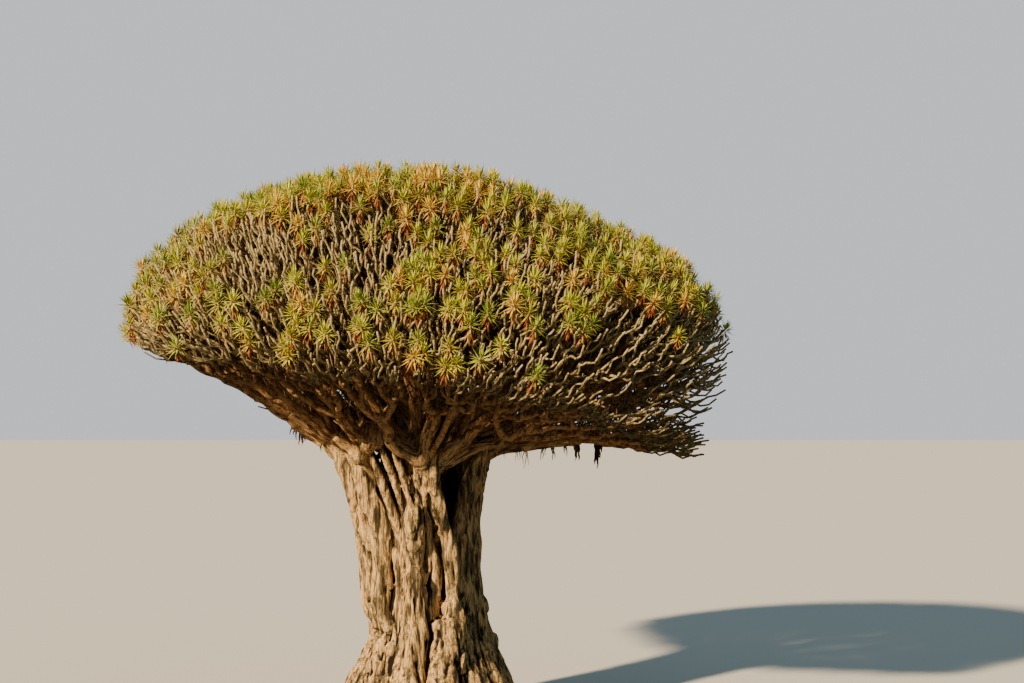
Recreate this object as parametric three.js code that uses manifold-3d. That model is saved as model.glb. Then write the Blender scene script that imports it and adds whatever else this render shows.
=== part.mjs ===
// A dragon blood tree: one old trunk of fused strands, boughs that rise from its fork,
// and an umbrella crown of forking stems, each tipped with a rosette of sword-shaped leaves.
// Millimetres, +Z up, origin at the middle of the flat cut at ground level.
// +X is to the right and -Y to the front. An azimuth is turned from +X towards +Y.

import * as THREE from "three";
import { mergeVertices } from "three/addons/utils/BufferGeometryUtils.js";
import Module from "manifold-3d";

const wasm = await Module();
wasm.setup();

// Driving sizes
const TREE_TOP = 16400;
const TOP_OF_STEMS = 15950; // height of the highest stem tip, under its leaves
const AXIS = new THREE.Vector2(-650, 0); // where the vertical axis of fork and crown stands
const FORK_HEIGHT = 7500; // stems part here at the axis
const FORK_DROP = 700; // and this much lower at the fork's edge
const FORK_RADIUS = 1750;
const CENTRE_RISE = 2900; // how far a stem on the axis climbs before and after its middle

// The crown differs from side to side: a value for each of its four sides.
const RIM_REACH = { right: 9350, back: 7800, left: 8250, front: 7600 };
const RIM_TUCK = { right: 0.12, back: 0.04, left: 0, front: 0 }; // the rim's lowest stems reach less far
const TUCK_START = 0.84;
const RIM_HEIGHT = { right: 7900, back: 9000, left: 11300, front: 10300 };
const SHOULDER_POWER = { right: 1.45, back: 1.5, left: 2.2, front: 1.7 };
const SHOULDER_ROUND = { right: 0.56, back: 0.75, left: 1.2, front: 1.05 };
const LEAVE_OUT = { right: 1900, back: 1200, left: 900, front: 1000 };
const LEAVE_UP = { right: 1500, back: 1700, left: 1900, front: 1500 };
const ARRIVE_OUT = { right: 3000, back: 2100, left: 2300, front: 2000 };
const ARRIVE_UP = { right: 300, back: 1000, left: 900, front: 1100 };

// The trunk
const WAIST_RADIUS = 1640;
const ROOT_FLARE = 1180;
const FLARE_HEIGHT = 2250;
const HEAD_SPREAD = 640;
const TRUNK_TOP = 7800;
const TRUNK_SHOULDER = 6850; // its outer edge under the boughs
const STRANDS = 15;
const STRAND_RADIUS = 430;
const STRAND_TWIST = 0.05; // radians for each metre of height
const CLEFT_AZIMUTH = THREE.MathUtils.degToRad(296);
const CLEFT_WIDTH = 0.17; // radians
const CLEFT_DEPTH = 420;
const TRUNK_SIDES = 36;
const TRUNK_RINGS = 13;

// Boughs and masses, from the middle of the crown to its rim
const RINGS = [
  { name: "inner", boughs: 2, from: 0, to: 0.322, turn: 0.35, forkAt: 0.34 },
  { name: "middle", boughs: 5, from: 0.322, to: 0.62, turn: 0.1, forkAt: 0.38 },
  { name: "outer", boughs: 9, from: 0.62, to: 1, turn: 0.22, forkAt: 0.42 },
];
const MASSES_PER_BOUGH = 2;
const BOUGH_FOOT = -0.1; // where a bough starts on its line, down inside the trunk
const BOUGH_FOOT_RADIUS = 390;
const BOUGH_TIP_RADIUS = 205;
const BOUGH_SIDES = 7;
const BOUGH_SPANS = 6;
const BOUGH_SWAY = 130;

// Stems and leaves
const TIPS = 113; // over the whole crown, each one standing for a spray of the real tips
const RIM_CROWDING = { right: 0.7, back: 0.85, left: 1, front: 1 };
const TIP_RADIUS = 58;
const STEM_THICKENING = 0.42; // a stem with n tips is n to this power as thick as one tip
const TIP_LENGTH = 1500;
const TIP_INSET = 230; // the large leaves reach further than real ones by this
const TWIG_SIDES = 3;
const LONG_TWIG = 2600; // a longer twig bends in three spans
const LEAVES_PER_RING = 5;
const LEAF_LENGTH = 880;
const LEAF_TRIES = [1, 0.8, 0.6, 0.42]; // shares of its length that a leaf may keep
const HUB_RADIUS = 82;
const LEAF_RINGS = [
  { rise: [0, 0.45], valley: HUB_RADIUS, valleyUp: -HUB_RADIUS * 0.2 },
  { rise: [0.7, 1.15], valley: HUB_RADIUS * 0.9, valleyUp: HUB_RADIUS * 0.75 },
];
const CLEARANCE = 0.3; // between two pieces that touch
const WALL = 25; // each mass stays this far inside its own space

// Plain numbers in turn from a seed, from 0 up to 1
function seeded(seed) {
  let state = seed >>> 0;
  return () => {
    state = (Math.imul(state, 1664525) + 1013904223) >>> 0;
    return state / 4294967296;
  };
}

const mix = (a, b, share) => a + (b - a) * share;

// A side-by-side value at an azimuth
function bySide(values, azimuth) {
  const c = Math.cos(azimuth);
  const s = Math.sin(azimuth);
  return (c > 0 ? values.right : values.left) * c * c + (s > 0 ? values.back : values.front) * s * s;
}

// The line that stems follow at an azimuth. Share 0 is the axis and 1 the rim.
function streamline(azimuth, share) {
  const u = Math.sin((share * Math.PI) / 2);
  const rimZ = bySide(RIM_HEIGHT, azimuth);
  const dome = (1 - share ** bySide(SHOULDER_POWER, azimuth)) ** bySide(SHOULDER_ROUND, azimuth);
  const lean = share ** 3;
  const foot = [FORK_RADIUS * u, FORK_HEIGHT - FORK_DROP * u];
  const tuck = bySide(RIM_TUCK, azimuth) * Math.max(0, (share - TUCK_START) / (1 - TUCK_START)) ** 2;
  const tip = [bySide(RIM_REACH, azimuth) * u * (1 - tuck), rimZ + (TOP_OF_STEMS - rimZ) * dome];
  const leave = [
    foot[0] + bySide(LEAVE_OUT, azimuth) * u,
    foot[1] + mix(CENTRE_RISE, bySide(LEAVE_UP, azimuth), u),
  ];
  const arrive = [
    tip[0] - bySide(ARRIVE_OUT, azimuth) * lean,
    tip[1] - mix(CENTRE_RISE, bySide(ARRIVE_UP, azimuth), lean),
  ];
  return [foot, leave, arrive, tip];
}

// Radius and height at t along a streamline
function alongLine([p0, p1, p2, p3], t) {
  const s = 1 - t;
  return [0, 1].map(
    (i) => s * s * s * p0[i] + 3 * s * s * t * p1[i] + 3 * s * t * t * p2[i] + t * t * t * p3[i],
  );
}

function crownPoint(azimuth, share, t) {
  const [r, z] = alongLine(streamline(azimuth, share), t);
  return new THREE.Vector3(AXIS.x + r * Math.cos(azimuth), AXIS.y + r * Math.sin(azimuth), z);
}

function crownDirection(azimuth, share, t) {
  const step = 0.01;
  return crownPoint(azimuth, share, t + step).sub(crownPoint(azimuth, share, t)).normalize();
}

function lineLength(azimuth, share) {
  const steps = 8;
  let length = 0;
  for (let i = 0; i < steps; i++)
    length += crownPoint(azimuth, share, i / steps).distanceTo(crownPoint(azimuth, share, (i + 1) / steps));
  return length;
}

// The share whose streamline passes through a point, found by halving
function shareOf(point) {
  const azimuth = Math.atan2(point.y - AXIS.y, point.x - AXIS.x);
  const radius = Math.hypot(point.x - AXIS.x, point.y - AXIS.y);
  const halvings = 18;
  let low = 0;
  let high = 1.15;
  for (let i = 0; i < halvings; i++) {
    const share = (low + high) / 2;
    const line = streamline(azimuth, Math.min(share, 1));
    let early = 0;
    let late = 1.25;
    for (let j = 0; j < halvings; j++) {
      const t = (early + late) / 2;
      if (alongLine(line, t)[1] < point.z) early = t;
      else late = t;
    }
    const lineRadius = alongLine(line, early)[0] * Math.max(share, 1);
    if (lineRadius < radius) low = share;
    else high = share;
  }
  return (low + high) / 2;
}

// Trunk: the outline of its strands at each height, seen from its axis
function trunkAxis(z) {
  return new THREE.Vector2(AXIS.x * Math.min(1, z / TRUNK_TOP) ** 0.9, 0);
}

function trunkRadius(z) {
  const flare = ROOT_FLARE * Math.exp(-((z / FLARE_HEIGHT) ** 1.5));
  return WAIST_RADIUS + flare + HEAD_SPREAD * (z / TRUNK_TOP) ** 4;
}

const strandRandom = seeded(41);
const strands = Array.from({ length: STRANDS }, (_, i) => ({
  azimuth: ((i + 0.6 * (strandRandom() - 0.5)) / STRANDS) * 2 * Math.PI,
  size: mix(0.75, 1.2, strandRandom()),
  wander: strandRandom() * 2 * Math.PI,
  root: mix(0.7, 1.15, strandRandom()),
}));

function trunkReach(azimuth, z, grow) {
  const outer = trunkRadius(z);
  const low = Math.exp(-z / 1500);
  let reach = outer - STRAND_RADIUS * 0.95;
  for (const strand of strands) {
    const at = strand.azimuth + (STRAND_TWIST * z) / 1000 + 0.1 * Math.sin(strand.wander + z / 1700);
    const size = STRAND_RADIUS * strand.size * mix(1, 1.35 * strand.root, low);
    const centre = outer * mix(1, strand.root, low * 0.5) - size * 0.92;
    const off = Math.atan2(Math.sin(azimuth - at), Math.cos(azimuth - at));
    const side = centre * Math.sin(off);
    if (Math.cos(off) > 0 && Math.abs(side) < size)
      reach = Math.max(reach, centre * Math.cos(off) + Math.sqrt(size * size - side * side));
  }
  const cleft = Math.atan2(Math.sin(azimuth - CLEFT_AZIMUTH), Math.cos(azimuth - CLEFT_AZIMUTH));
  const open = Math.min(1, z / 2500) * CLEFT_DEPTH;
  return reach - open * Math.exp(-((cleft / CLEFT_WIDTH) ** 2)) + grow;
}

// A lathe whose rings are pushed out to the strands, under a low domed head
function trunkSolid(grow) {
  const profile = [new THREE.Vector2(0, 0)];
  for (let i = 0; i < TRUNK_RINGS; i++)
    profile.push(new THREE.Vector2(1, (TRUNK_SHOULDER * i) / (TRUNK_RINGS - 1)));
  profile.push(new THREE.Vector2(0.72, mix(TRUNK_SHOULDER, TRUNK_TOP, 0.55)));
  profile.push(new THREE.Vector2(0.38, mix(TRUNK_SHOULDER, TRUNK_TOP, 0.9)));
  profile.push(new THREE.Vector2(0, TRUNK_TOP));
  const lathe = new THREE.LatheGeometry(profile, TRUNK_SIDES);
  const at = lathe.attributes.position;
  for (let i = 0; i < at.count; i++) {
    const [x, z, y] = [at.getX(i), at.getY(i), at.getZ(i)];
    const azimuth = Math.atan2(-y, x);
    const edge = Math.hypot(x, y);
    const reach = edge * trunkReach(azimuth, Math.min(z, TRUNK_SHOULDER), grow);
    const axis = trunkAxis(z);
    const lift = z > TRUNK_SHOULDER ? grow : 0;
    at.setXYZ(i, axis.x + reach * Math.cos(azimuth), axis.y + reach * Math.sin(azimuth), z + lift);
  }
  return solidOf(lathe);
}

// A closed manifold solid from a three.js geometry
function solidOf(geometry) {
  const bare = geometry.clone();
  bare.deleteAttribute("normal");
  bare.deleteAttribute("uv");
  const merged = mergeVertices(bare, 0.01);
  const index = Array.from(merged.index.array);
  const faces = [];
  for (let i = 0; i < index.length; i += 3) {
    const [a, b, c] = index.slice(i, i + 3);
    if (a !== b && b !== c && a !== c) faces.push(a, b, c);
  }
  const mesh = new wasm.Mesh({
    numProp: 3,
    vertProperties: new Float32Array(merged.attributes.position.array),
    triVerts: new Uint32Array(faces),
  });
  const solid = new wasm.Manifold(mesh);
  if (solid.volume() > 0) return solid;
  for (let i = 0; i < faces.length; i += 3) [faces[i], faces[i + 1]] = [faces[i + 1], faces[i]];
  mesh.triVerts = new Uint32Array(faces);
  return new wasm.Manifold(mesh);
}

function geometryOf(solid) {
  const mesh = solid.getMesh();
  const geometry = new THREE.BufferGeometry();
  const points = new Float32Array(mesh.numVert * 3);
  for (let i = 0; i < mesh.numVert; i++)
    points.set(mesh.vertProperties.subarray(i * mesh.numProp, i * mesh.numProp + 3), i * 3);
  geometry.setAttribute("position", new THREE.BufferAttribute(points, 3));
  geometry.setIndex(new THREE.BufferAttribute(mesh.triVerts, 1));
  geometry.computeVertexNormals();
  return geometry;
}

// A tapering round limb: a cylinder whose rings are moved onto a curve
function limb(curve, radiusAt, sides, spans) {
  const cylinder = new THREE.CylinderGeometry(1, 1, 1, sides, spans, true);
  const frames = curve.computeFrenetFrames(spans, false);
  const places = curve.getSpacedPoints(spans);
  const at = cylinder.attributes.position;
  for (let i = 0; i < at.count; i++) {
    const ring = Math.round((at.getY(i) + 0.5) * spans);
    const radius = radiusAt(ring / spans);
    const place = places[ring]
      .clone()
      .addScaledVector(frames.normals[ring], at.getX(i) * radius)
      .addScaledVector(frames.binormals[ring], at.getZ(i) * radius);
    at.setXYZ(i, place.x, place.y, place.z);
  }
  const caps = [];
  const around = sides + 1; // the cylinder's seam has its vertices twice
  const last = spans * around;
  for (let i = 1; i < sides - 1; i++) caps.push(0, i, i + 1, last, last + i + 1, last + i);
  cylinder.setIndex([...cylinder.index.array, ...caps]);
  return solidOf(cylinder);
}

// Cells of the crown: a bough's share of its ring, halved between its two masses
function planCrown() {
  const plan = [];
  for (const ring of RINGS) {
    const width = (2 * Math.PI) / ring.boughs;
    for (let i = 0; i < ring.boughs; i++) {
      const start = ring.turn + i * width;
      const bough = {
        name: `bough_${ring.name}_${i + 1}`,
        azimuth: start + width / 2,
        share: mix(ring.from, ring.to, 0.55),
        forkAt: ring.forkAt,
        seed: plan.length + 1,
        masses: [],
      };
      for (let j = 0; j < MASSES_PER_BOUGH; j++)
        bough.masses.push({
          name: `mass_${ring.name}_${i * MASSES_PER_BOUGH + j + 1}`,
          from: ring.from,
          to: ring.to,
          start: start + (width * j) / MASSES_PER_BOUGH,
          end: start + (width * (j + 1)) / MASSES_PER_BOUGH,
          tips: [],
        });
      plan.push(bough);
    }
  }
  return plan;
}

// Tips at even steps of a golden spiral over the crown, crowded towards the rim where its flank is tall
function plantTips(plan, count) {
  const golden = Math.PI * (3 - Math.sqrt(5));
  const masses = plan.flatMap((bough) => bough.masses);
  for (let i = 0; i < count; i++) {
    const turn = (i * golden) % (2 * Math.PI);
    const share = ((Math.acos(1 - (i + 0.5) / count) * 2) / Math.PI) ** bySide(RIM_CROWDING, turn);
    for (const mass of masses) {
      const azimuth = turn < mass.start ? turn + 2 * Math.PI : turn;
      const inside = azimuth >= mass.start && azimuth < mass.end && share >= mass.from && share < mass.to;
      if (!inside) continue;
      const middle = (mass.start + mass.end) / 2;
      const depth = (mass.from + mass.to) / 2;
      const pull = 0.16; // towards the middle of the mass's own space
      const free = mass.to === 1 && share > depth;
      mass.tips.push(flat(mix(azimuth, middle, pull), free ? share : mix(share, depth, pull)));
    }
  }
}

// A place on the crown as flat coordinates, which can be averaged
function flat(azimuth, share) {
  return { azimuth, share, a: share * Math.cos(azimuth), b: share * Math.sin(azimuth) };
}

function meanOf(tips) {
  const a = tips.reduce((sum, tip) => sum + tip.a, 0) / tips.length;
  const b = tips.reduce((sum, tip) => sum + tip.b, 0) / tips.length;
  return { azimuth: Math.atan2(b, a), share: Math.hypot(a, b), a, b };
}

// Tips parted in two or three across their longest spread
function partTips(tips, random) {
  const mean = meanOf(tips);
  let aa = 0;
  let ab = 0;
  let bb = 0;
  for (const tip of tips) {
    aa += (tip.a - mean.a) ** 2;
    ab += (tip.a - mean.a) * (tip.b - mean.b);
    bb += (tip.b - mean.b) ** 2;
  }
  const angle = 0.5 * Math.atan2(2 * ab, aa - bb);
  const along = (tip) => tip.a * Math.cos(angle) + tip.b * Math.sin(angle);
  const sorted = [...tips].sort((p, q) => along(p) - along(q));
  const parts = tips.length > 3 && random() < 0.35 ? 3 : 2;
  const groups = [];
  for (let i = 0; i < parts; i++) {
    const from = Math.round((i * sorted.length) / parts);
    const to = Math.round(((i + 1) * sorted.length) / parts);
    groups.push(sorted.slice(from, to));
  }
  return groups;
}

// A point is in a mass's space when it is inside its wedge and between its two bounding shells.
function inSpace(mass, point, margin) {
  const x = point.x - AXIS.x;
  const y = point.y - AXIS.y;
  const pastStart = y * Math.cos(mass.start) - x * Math.sin(mass.start);
  const beforeEnd = x * Math.sin(mass.end) - y * Math.cos(mass.end);
  if (pastStart < margin || beforeEnd < margin) return false;
  const radius = Math.hypot(x, y);
  const outward = new THREE.Vector3(x / radius, y / radius, 0);
  const inner = shareOf(point.clone().addScaledVector(outward, -margin));
  const outer = shareOf(point.clone().addScaledVector(outward, margin));
  return (mass.from === 0 || inner > mass.from) && (mass.to === 1 || outer < mass.to);
}

function stemRadius(tipCount) {
  return TIP_RADIUS * tipCount ** STEM_THICKENING;
}

// Faces between two rings of points with any counts, both starting at the same azimuth
function zip(first, firstCount, second, secondCount) {
  const faces = [];
  let i = 0;
  let j = 0;
  while (i < firstCount || j < secondCount) {
    const a = first + (i % firstCount);
    const b = second + (j % secondCount);
    if (j >= secondCount || (i + 0.5) / firstCount < (j + 0.5) / secondCount) {
      faces.push(a, first + ((i + 1) % firstCount), b);
      i++;
    } else {
      faces.push(a, second + ((j + 1) % secondCount), b);
      j++;
    }
  }
  return faces;
}

// A twig that ends in its rosette: a low ring and a high ring of four-faced sword leaves round a hub.
// A leaf that would leave the mass's space is shortened, and in the end skipped.
function leafyTwig(mass, curve, startRadius, spans, random) {
  const frames = curve.computeFrenetFrames(spans, false);
  const places = curve.getSpacedPoints(spans);
  const spin = random() * 2 * Math.PI;
  const polar = (ring, around, radius, up) =>
    places[ring]
      .clone()
      .addScaledVector(frames.normals[ring], Math.cos(around + spin) * radius)
      .addScaledVector(frames.binormals[ring], Math.sin(around + spin) * radius)
      .addScaledVector(frames.tangents[ring], up);
  const points = [];
  for (let ring = 0; ring <= spans; ring++) {
    const up = ring === spans ? -HUB_RADIUS * 0.9 : 0;
    const radius = mix(startRadius, TIP_RADIUS, ring / spans);
    for (let i = 0; i < TWIG_SIDES; i++) points.push(polar(ring, (i / TWIG_SIDES) * 2 * Math.PI, radius, up));
  }
  const faces = [0, 2, 1];
  for (let ring = 0; ring < spans; ring++)
    faces.push(...zip(ring * TWIG_SIDES, TWIG_SIDES, (ring + 1) * TWIG_SIDES, TWIG_SIDES));

  const corners = LEAVES_PER_RING * 2;
  const low = points.length;
  const high = low + corners;
  for (const [level, ring] of LEAF_RINGS.entries())
    for (let i = 0; i < corners; i++) {
      const around = (i / corners) * 2 * Math.PI;
      const rise = mix(ring.rise[0], ring.rise[1], random());
      const long = LEAF_LENGTH * mix(0.84, 1.04, random());
      let point = polar(spans, around, ring.valley, ring.valleyUp);
      if (i % 2 === level)
        for (const share of LEAF_TRIES) {
          const end = polar(spans, around, long * share * Math.cos(rise), long * share * Math.sin(rise));
          const middle = end.clone().lerp(places[spans], 0.5);
          if (end.z > TREE_TOP || !inSpace(mass, end, WALL)) continue;
          if (!inSpace(mass, middle, WALL + HUB_RADIUS / 2)) continue;
          point = end;
          break;
        }
      points.push(point);
    }
  faces.push(...zip(low - TWIG_SIDES, TWIG_SIDES, low, corners));
  for (let i = 0; i < corners; i++) {
    const next = (i + 1) % corners;
    if (i % 2) faces.push(low + i, low + next, high + next, low + i, high + next, high + i);
    else faces.push(low + i, low + next, high + i, low + next, high + next, high + i);
    faces.push(high + i, high + next, high + corners);
  }
  points.push(polar(spans, 0, 0, HUB_RADIUS * 1.5));
  const twig = new THREE.BufferGeometry().setFromPoints(points);
  twig.setIndex(faces);
  return solidOf(twig);
}

// One mass: a stem from its bough's tip that forks until every tip has its own twig
function growMass(mass, boughTip, boughDirection, forkAt, seed) {
  const random = seeded(seed);
  const pieces = [];
  const everyTip = mass.tips.length;
  const whole = meanOf(mass.tips);
  const stemDepth = (1 - forkAt) * lineLength(whole.azimuth, whole.share);

  const branch = (tips, start, startDirection, startRadius, startT) => {
    const mean = meanOf(tips);
    const endRadius = stemRadius(tips.length);
    const length = lineLength(mean.azimuth, mean.share);
    const reach = 1 - TIP_INSET / length - (tips.length === 1 ? 0.05 * random() : 0);
    const levels = everyTip > 1 ? Math.log2(tips.length) / Math.log2(everyTip) : 0;
    const depth = TIP_LENGTH + (stemDepth * 0.66 - TIP_LENGTH) * levels;
    const t = tips.length === 1 ? reach : Math.max(startT + 0.07, reach - depth / length);
    const end = crownPoint(mean.azimuth, mean.share, t);
    const endDirection = crownDirection(mean.azimuth, mean.share, t);
    if (!inSpace(mass, end, WALL + (tips.length === 1 ? HUB_RADIUS : endRadius))) return;
    const span = start.distanceTo(end);
    const overlap = tips.length === 1 ? 0 : stemRadius(tips.length) * 0.5;
    const curve = new THREE.CubicBezierCurve3(
      start,
      start.clone().addScaledVector(startDirection, span * 0.35),
      end.clone().addScaledVector(endDirection, -span * 0.35),
      end.clone().addScaledVector(endDirection, overlap),
    );
    const spans = span > LONG_TWIG ? 3 : 2;
    if (tips.length === 1) {
      pieces.push(leafyTwig(mass, curve, startRadius, spans, random));
      return;
    }
    pieces.push(limb(curve, (share) => mix(startRadius, endRadius, share), TWIG_SIDES, spans));
    for (const group of partTips(tips, random)) {
      const target = meanOf(group);
      const towards = crownPoint(target.azimuth, target.share, Math.min(1, t + 0.2)).sub(end).normalize();
      const leaving = towards.multiplyScalar(0.75).addScaledVector(endDirection, 0.35).normalize();
      const foot = end.clone().addScaledVector(leaving, -stemRadius(group.length) * 0.35);
      branch(group, foot, leaving, Math.min(stemRadius(group.length) * 1.1, endRadius), t);
    }
  };

  // the stem's foot stands on the bough's cut end, to its own side of the wall between the masses
  const middle = (mass.start + mass.end) / 2;
  const sideways = new THREE.Vector3(-Math.sin(middle), Math.cos(middle), 0);
  const boughAzimuth = Math.atan2(boughTip.y - AXIS.y, boughTip.x - AXIS.x);
  const towards = Math.sign(Math.sin(middle - boughAzimuth));
  const inEnd = sideways.addScaledVector(boughDirection, -sideways.dot(boughDirection)).normalize();
  const foot = boughTip
    .clone()
    .addScaledVector(inEnd, towards * BOUGH_TIP_RADIUS * 0.5)
    .addScaledVector(boughDirection, CLEARANCE);
  branch(mass.tips, foot, boughDirection, BOUGH_TIP_RADIUS * 0.46, forkAt);
  return pieces.reduce((whole, piece) => whole.add(piece));
}

const bark = new THREE.MeshStandardMaterial({ color: 0xb39a7c, roughness: 0.95, metalness: 0 });
const limbBark = new THREE.MeshStandardMaterial({ color: 0x8f6f50, roughness: 0.9, metalness: 0 });
const foliage = new THREE.MeshStandardMaterial({ color: 0x8c9440, roughness: 0.7, metalness: 0 });

const tree = new THREE.Group();
tree.name = "dragon_blood_tree";

function addPart(name, solid, material) {
  const mesh = new THREE.Mesh(geometryOf(solid), material);
  mesh.name = name;
  tree.add(mesh);
}

const trunk = trunkSolid(0);
const trunkAndGap = trunkSolid(CLEARANCE * 2);
addPart("trunk", trunk, bark);

const plan = planCrown();
plantTips(plan, TIPS);

// Where two boughs lean on each other, the later one is cut back to a small gap.
const boughsAndGaps = [];

for (const bough of plan) {
  const random = seeded(100 + bough.seed);
  const points = [];
  const swayStart = random() * 2 * Math.PI;
  for (let i = 0; i <= BOUGH_SPANS; i++) {
    const share = i / BOUGH_SPANS;
    const t = mix(BOUGH_FOOT, bough.forkAt, share);
    const sway = BOUGH_SWAY * Math.sin(swayStart + share * 5) * share * (1 - share) * 4;
    const sideways = new THREE.Vector3(-Math.sin(bough.azimuth), Math.cos(bough.azimuth), 0);
    points.push(crownPoint(bough.azimuth, bough.share, t).addScaledVector(sideways, sway));
  }
  const curve = new THREE.CatmullRomCurve3(points);
  const radiusAt = (share) => mix(BOUGH_FOOT_RADIUS, BOUGH_TIP_RADIUS, Math.sqrt(share));
  const whole = limb(curve, radiusAt, BOUGH_SIDES, BOUGH_SPANS);
  const clear = boughsAndGaps.reduce((rest, other) => rest.subtract(other), whole.subtract(trunkAndGap));
  const largest = clear.decompose().sort((a, b) => b.volume() - a.volume())[0];
  boughsAndGaps.push(limb(curve, (share) => radiusAt(share) + CLEARANCE * 2, BOUGH_SIDES, BOUGH_SPANS));
  addPart(bough.name, largest, limbBark);
  const end = points[BOUGH_SPANS];
  const direction = curve.getTangentAt(1);
  bough.masses.forEach((mass, i) => {
    const solid = growMass(mass, end, direction, bough.forkAt, 1000 + bough.seed * 10 + i);
    addPart(mass.name, solid, foliage);
  });
}

export default tree;
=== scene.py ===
# An old dragon blood tree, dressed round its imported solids.
# Metres, +Z up, -Y towards the viewer, origin at the middle of the trunk's cut at ground level.

import math

import bpy
import numpy as np
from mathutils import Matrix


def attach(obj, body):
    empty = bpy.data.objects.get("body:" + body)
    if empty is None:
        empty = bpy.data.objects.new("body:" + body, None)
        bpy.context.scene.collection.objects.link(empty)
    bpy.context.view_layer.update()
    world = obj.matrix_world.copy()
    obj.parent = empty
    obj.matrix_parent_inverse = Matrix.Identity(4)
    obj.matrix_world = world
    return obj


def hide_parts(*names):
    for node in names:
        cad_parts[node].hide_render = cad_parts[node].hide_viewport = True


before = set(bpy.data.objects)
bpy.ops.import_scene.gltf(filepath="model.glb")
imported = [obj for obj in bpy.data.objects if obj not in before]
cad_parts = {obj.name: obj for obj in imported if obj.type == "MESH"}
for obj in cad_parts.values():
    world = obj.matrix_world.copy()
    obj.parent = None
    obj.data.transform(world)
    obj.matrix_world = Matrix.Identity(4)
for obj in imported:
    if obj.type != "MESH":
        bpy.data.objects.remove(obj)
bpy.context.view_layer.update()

bl_info = {
    "name": "Dragon Blood Tree",
    "version": (1, 0, 0),
    "blender": (4, 5, 0),
    "location": "View3D > Sidebar > Dragon Tree",
    "description": "Builds a dragon blood tree: trunk, boughs, stems, twigs and leaf rosettes",
    "category": "Add Mesh",
}

# The crown's rule, as in the solids. Four values stand for the crown's right, back, left and front.
AXIS = np.array([-0.65, 0.0])
FORK_HEIGHT, FORK_DROP, FORK_RADIUS, CENTRE_RISE = 7.5, 0.5, 1.6, 2.9
FOOT_LIFT = (0.5, 0.1, 0.0, 0.0)
RIM_REACH = (9.7, 7.9, 8.5, 7.6)
RIM_TUCK = (0.1, 0.04, 0.0, 0.0)
RIM_HEIGHT = (7.78, 9.0, 11.3, 10.3)
SHOULDER_POWER = (1.45, 1.5, 2.2, 1.7)
SHOULDER_ROUND = (0.56, 0.75, 1.2, 1.05)
LEAVE_OUT = (1.9, 1.2, 0.9, 1.0)
LEAVE_UP = (1.12, 1.7, 1.9, 1.5)
ARRIVE_OUT = (3.0, 2.1, 2.3, 2.0)
ARRIVE_UP = (0.3, 1.0, 0.9, 1.1)
RIM_CROWDING = (0.83, 0.93, 1.0, 1.0)
RINGS = (
    {"name": "inner", "boughs": 2, "from": 0.0, "to": 0.322, "turn": 0.35},
    {"name": "middle", "boughs": 5, "from": 0.322, "to": 0.62, "turn": 0.1},
    {"name": "outer", "boughs": 9, "from": 0.62, "to": 1.0, "turn": 0.22},
)
MASSES_PER_BOUGH = 2
# Shares of the way to the rim: past the first the crown tucks in, past the second twigs join along the rim.
TUCK_START, RIM_ONLY = 0.84, 0.95
# The crown's flat top stands up a little over its open front: the directions and the shares where it does
BROW_HEIGHT, BROW_TURN, BROW_SHARE = 0.7, (205, 265, 300, 340), (0.15, 0.4, 0.43, 0.55)
# Boughs over the trunk's front draw together here at their feet: the middle, how nearly, and which do
CROTCH_AZIMUTH, CROTCH_DRAW, CROTCH_TURN = 287, 0.85, (240, 262, 318, 340)
# A bough starts a little inside the trunk and is drawn with this many points.
BOUGH_FOOT, BOUGH_ROWS = -0.1, 26
# A stem with two to this power of tips forks this share of its line's length below the crown's surface.
MOST_FORKS, DEEPEST_FORK = 7.3, 0.86
# A stem with more than this share of its bough's tips is drawn with the bough, with points this far apart.
LIMB_SHARE, LIMB_STEP = 0.2, 0.09
# Twigs stop this far under the crown's surface. Forks stray by these factors along their line, and by this
# much off it. No stem is shorter than the last value.
TIP_INSET, FORK_STRAY, FORK_ASTRAY, SHORTEST_STEM = (0.05, 0.5), (0.88, 1.12), 0.05, 0.3
# Chance that a fork has three stems
THREE_WAY = 0.25
# Bare low limbs: the bough's point that they leave, their directions in degrees, and their shares at the rim
LOW_LIMB_ROW, LOW_LIMB_TURN, LOW_LIMB_SHARE = 20, (-80, 150), (1.0, 0.975)
# Dead twigs are this long and taper like this. None grow under a height near the crown's axis.
DEAD_TWIG_LENGTH, DEAD_TWIG_RADII = (0.35, 0.85), (0.032, 0.022)
BARE_FORK_TOP, BARE_FORK = 9.4, 3.4
# Sizes of the rosettes. Twigs lower than the floor carry none: over most of the crown, and on its right.
ROSETTE_SIZES = (0.82, 1.12)
LEAF_FLOOR, LEAF_FLOOR_RIGHT = 9.5, 11.5
TRUNK_TOP = 7.8
# Painted shade on bark in the middle of the crown, behind the fork: its middle, and where the shade thins and
# ends
HEART_SHADE_MIDDLE = (-0.4, 1.5)
HEART_SHADE_FULL, HEART_SHADE_END = 1.9, 3.1

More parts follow.
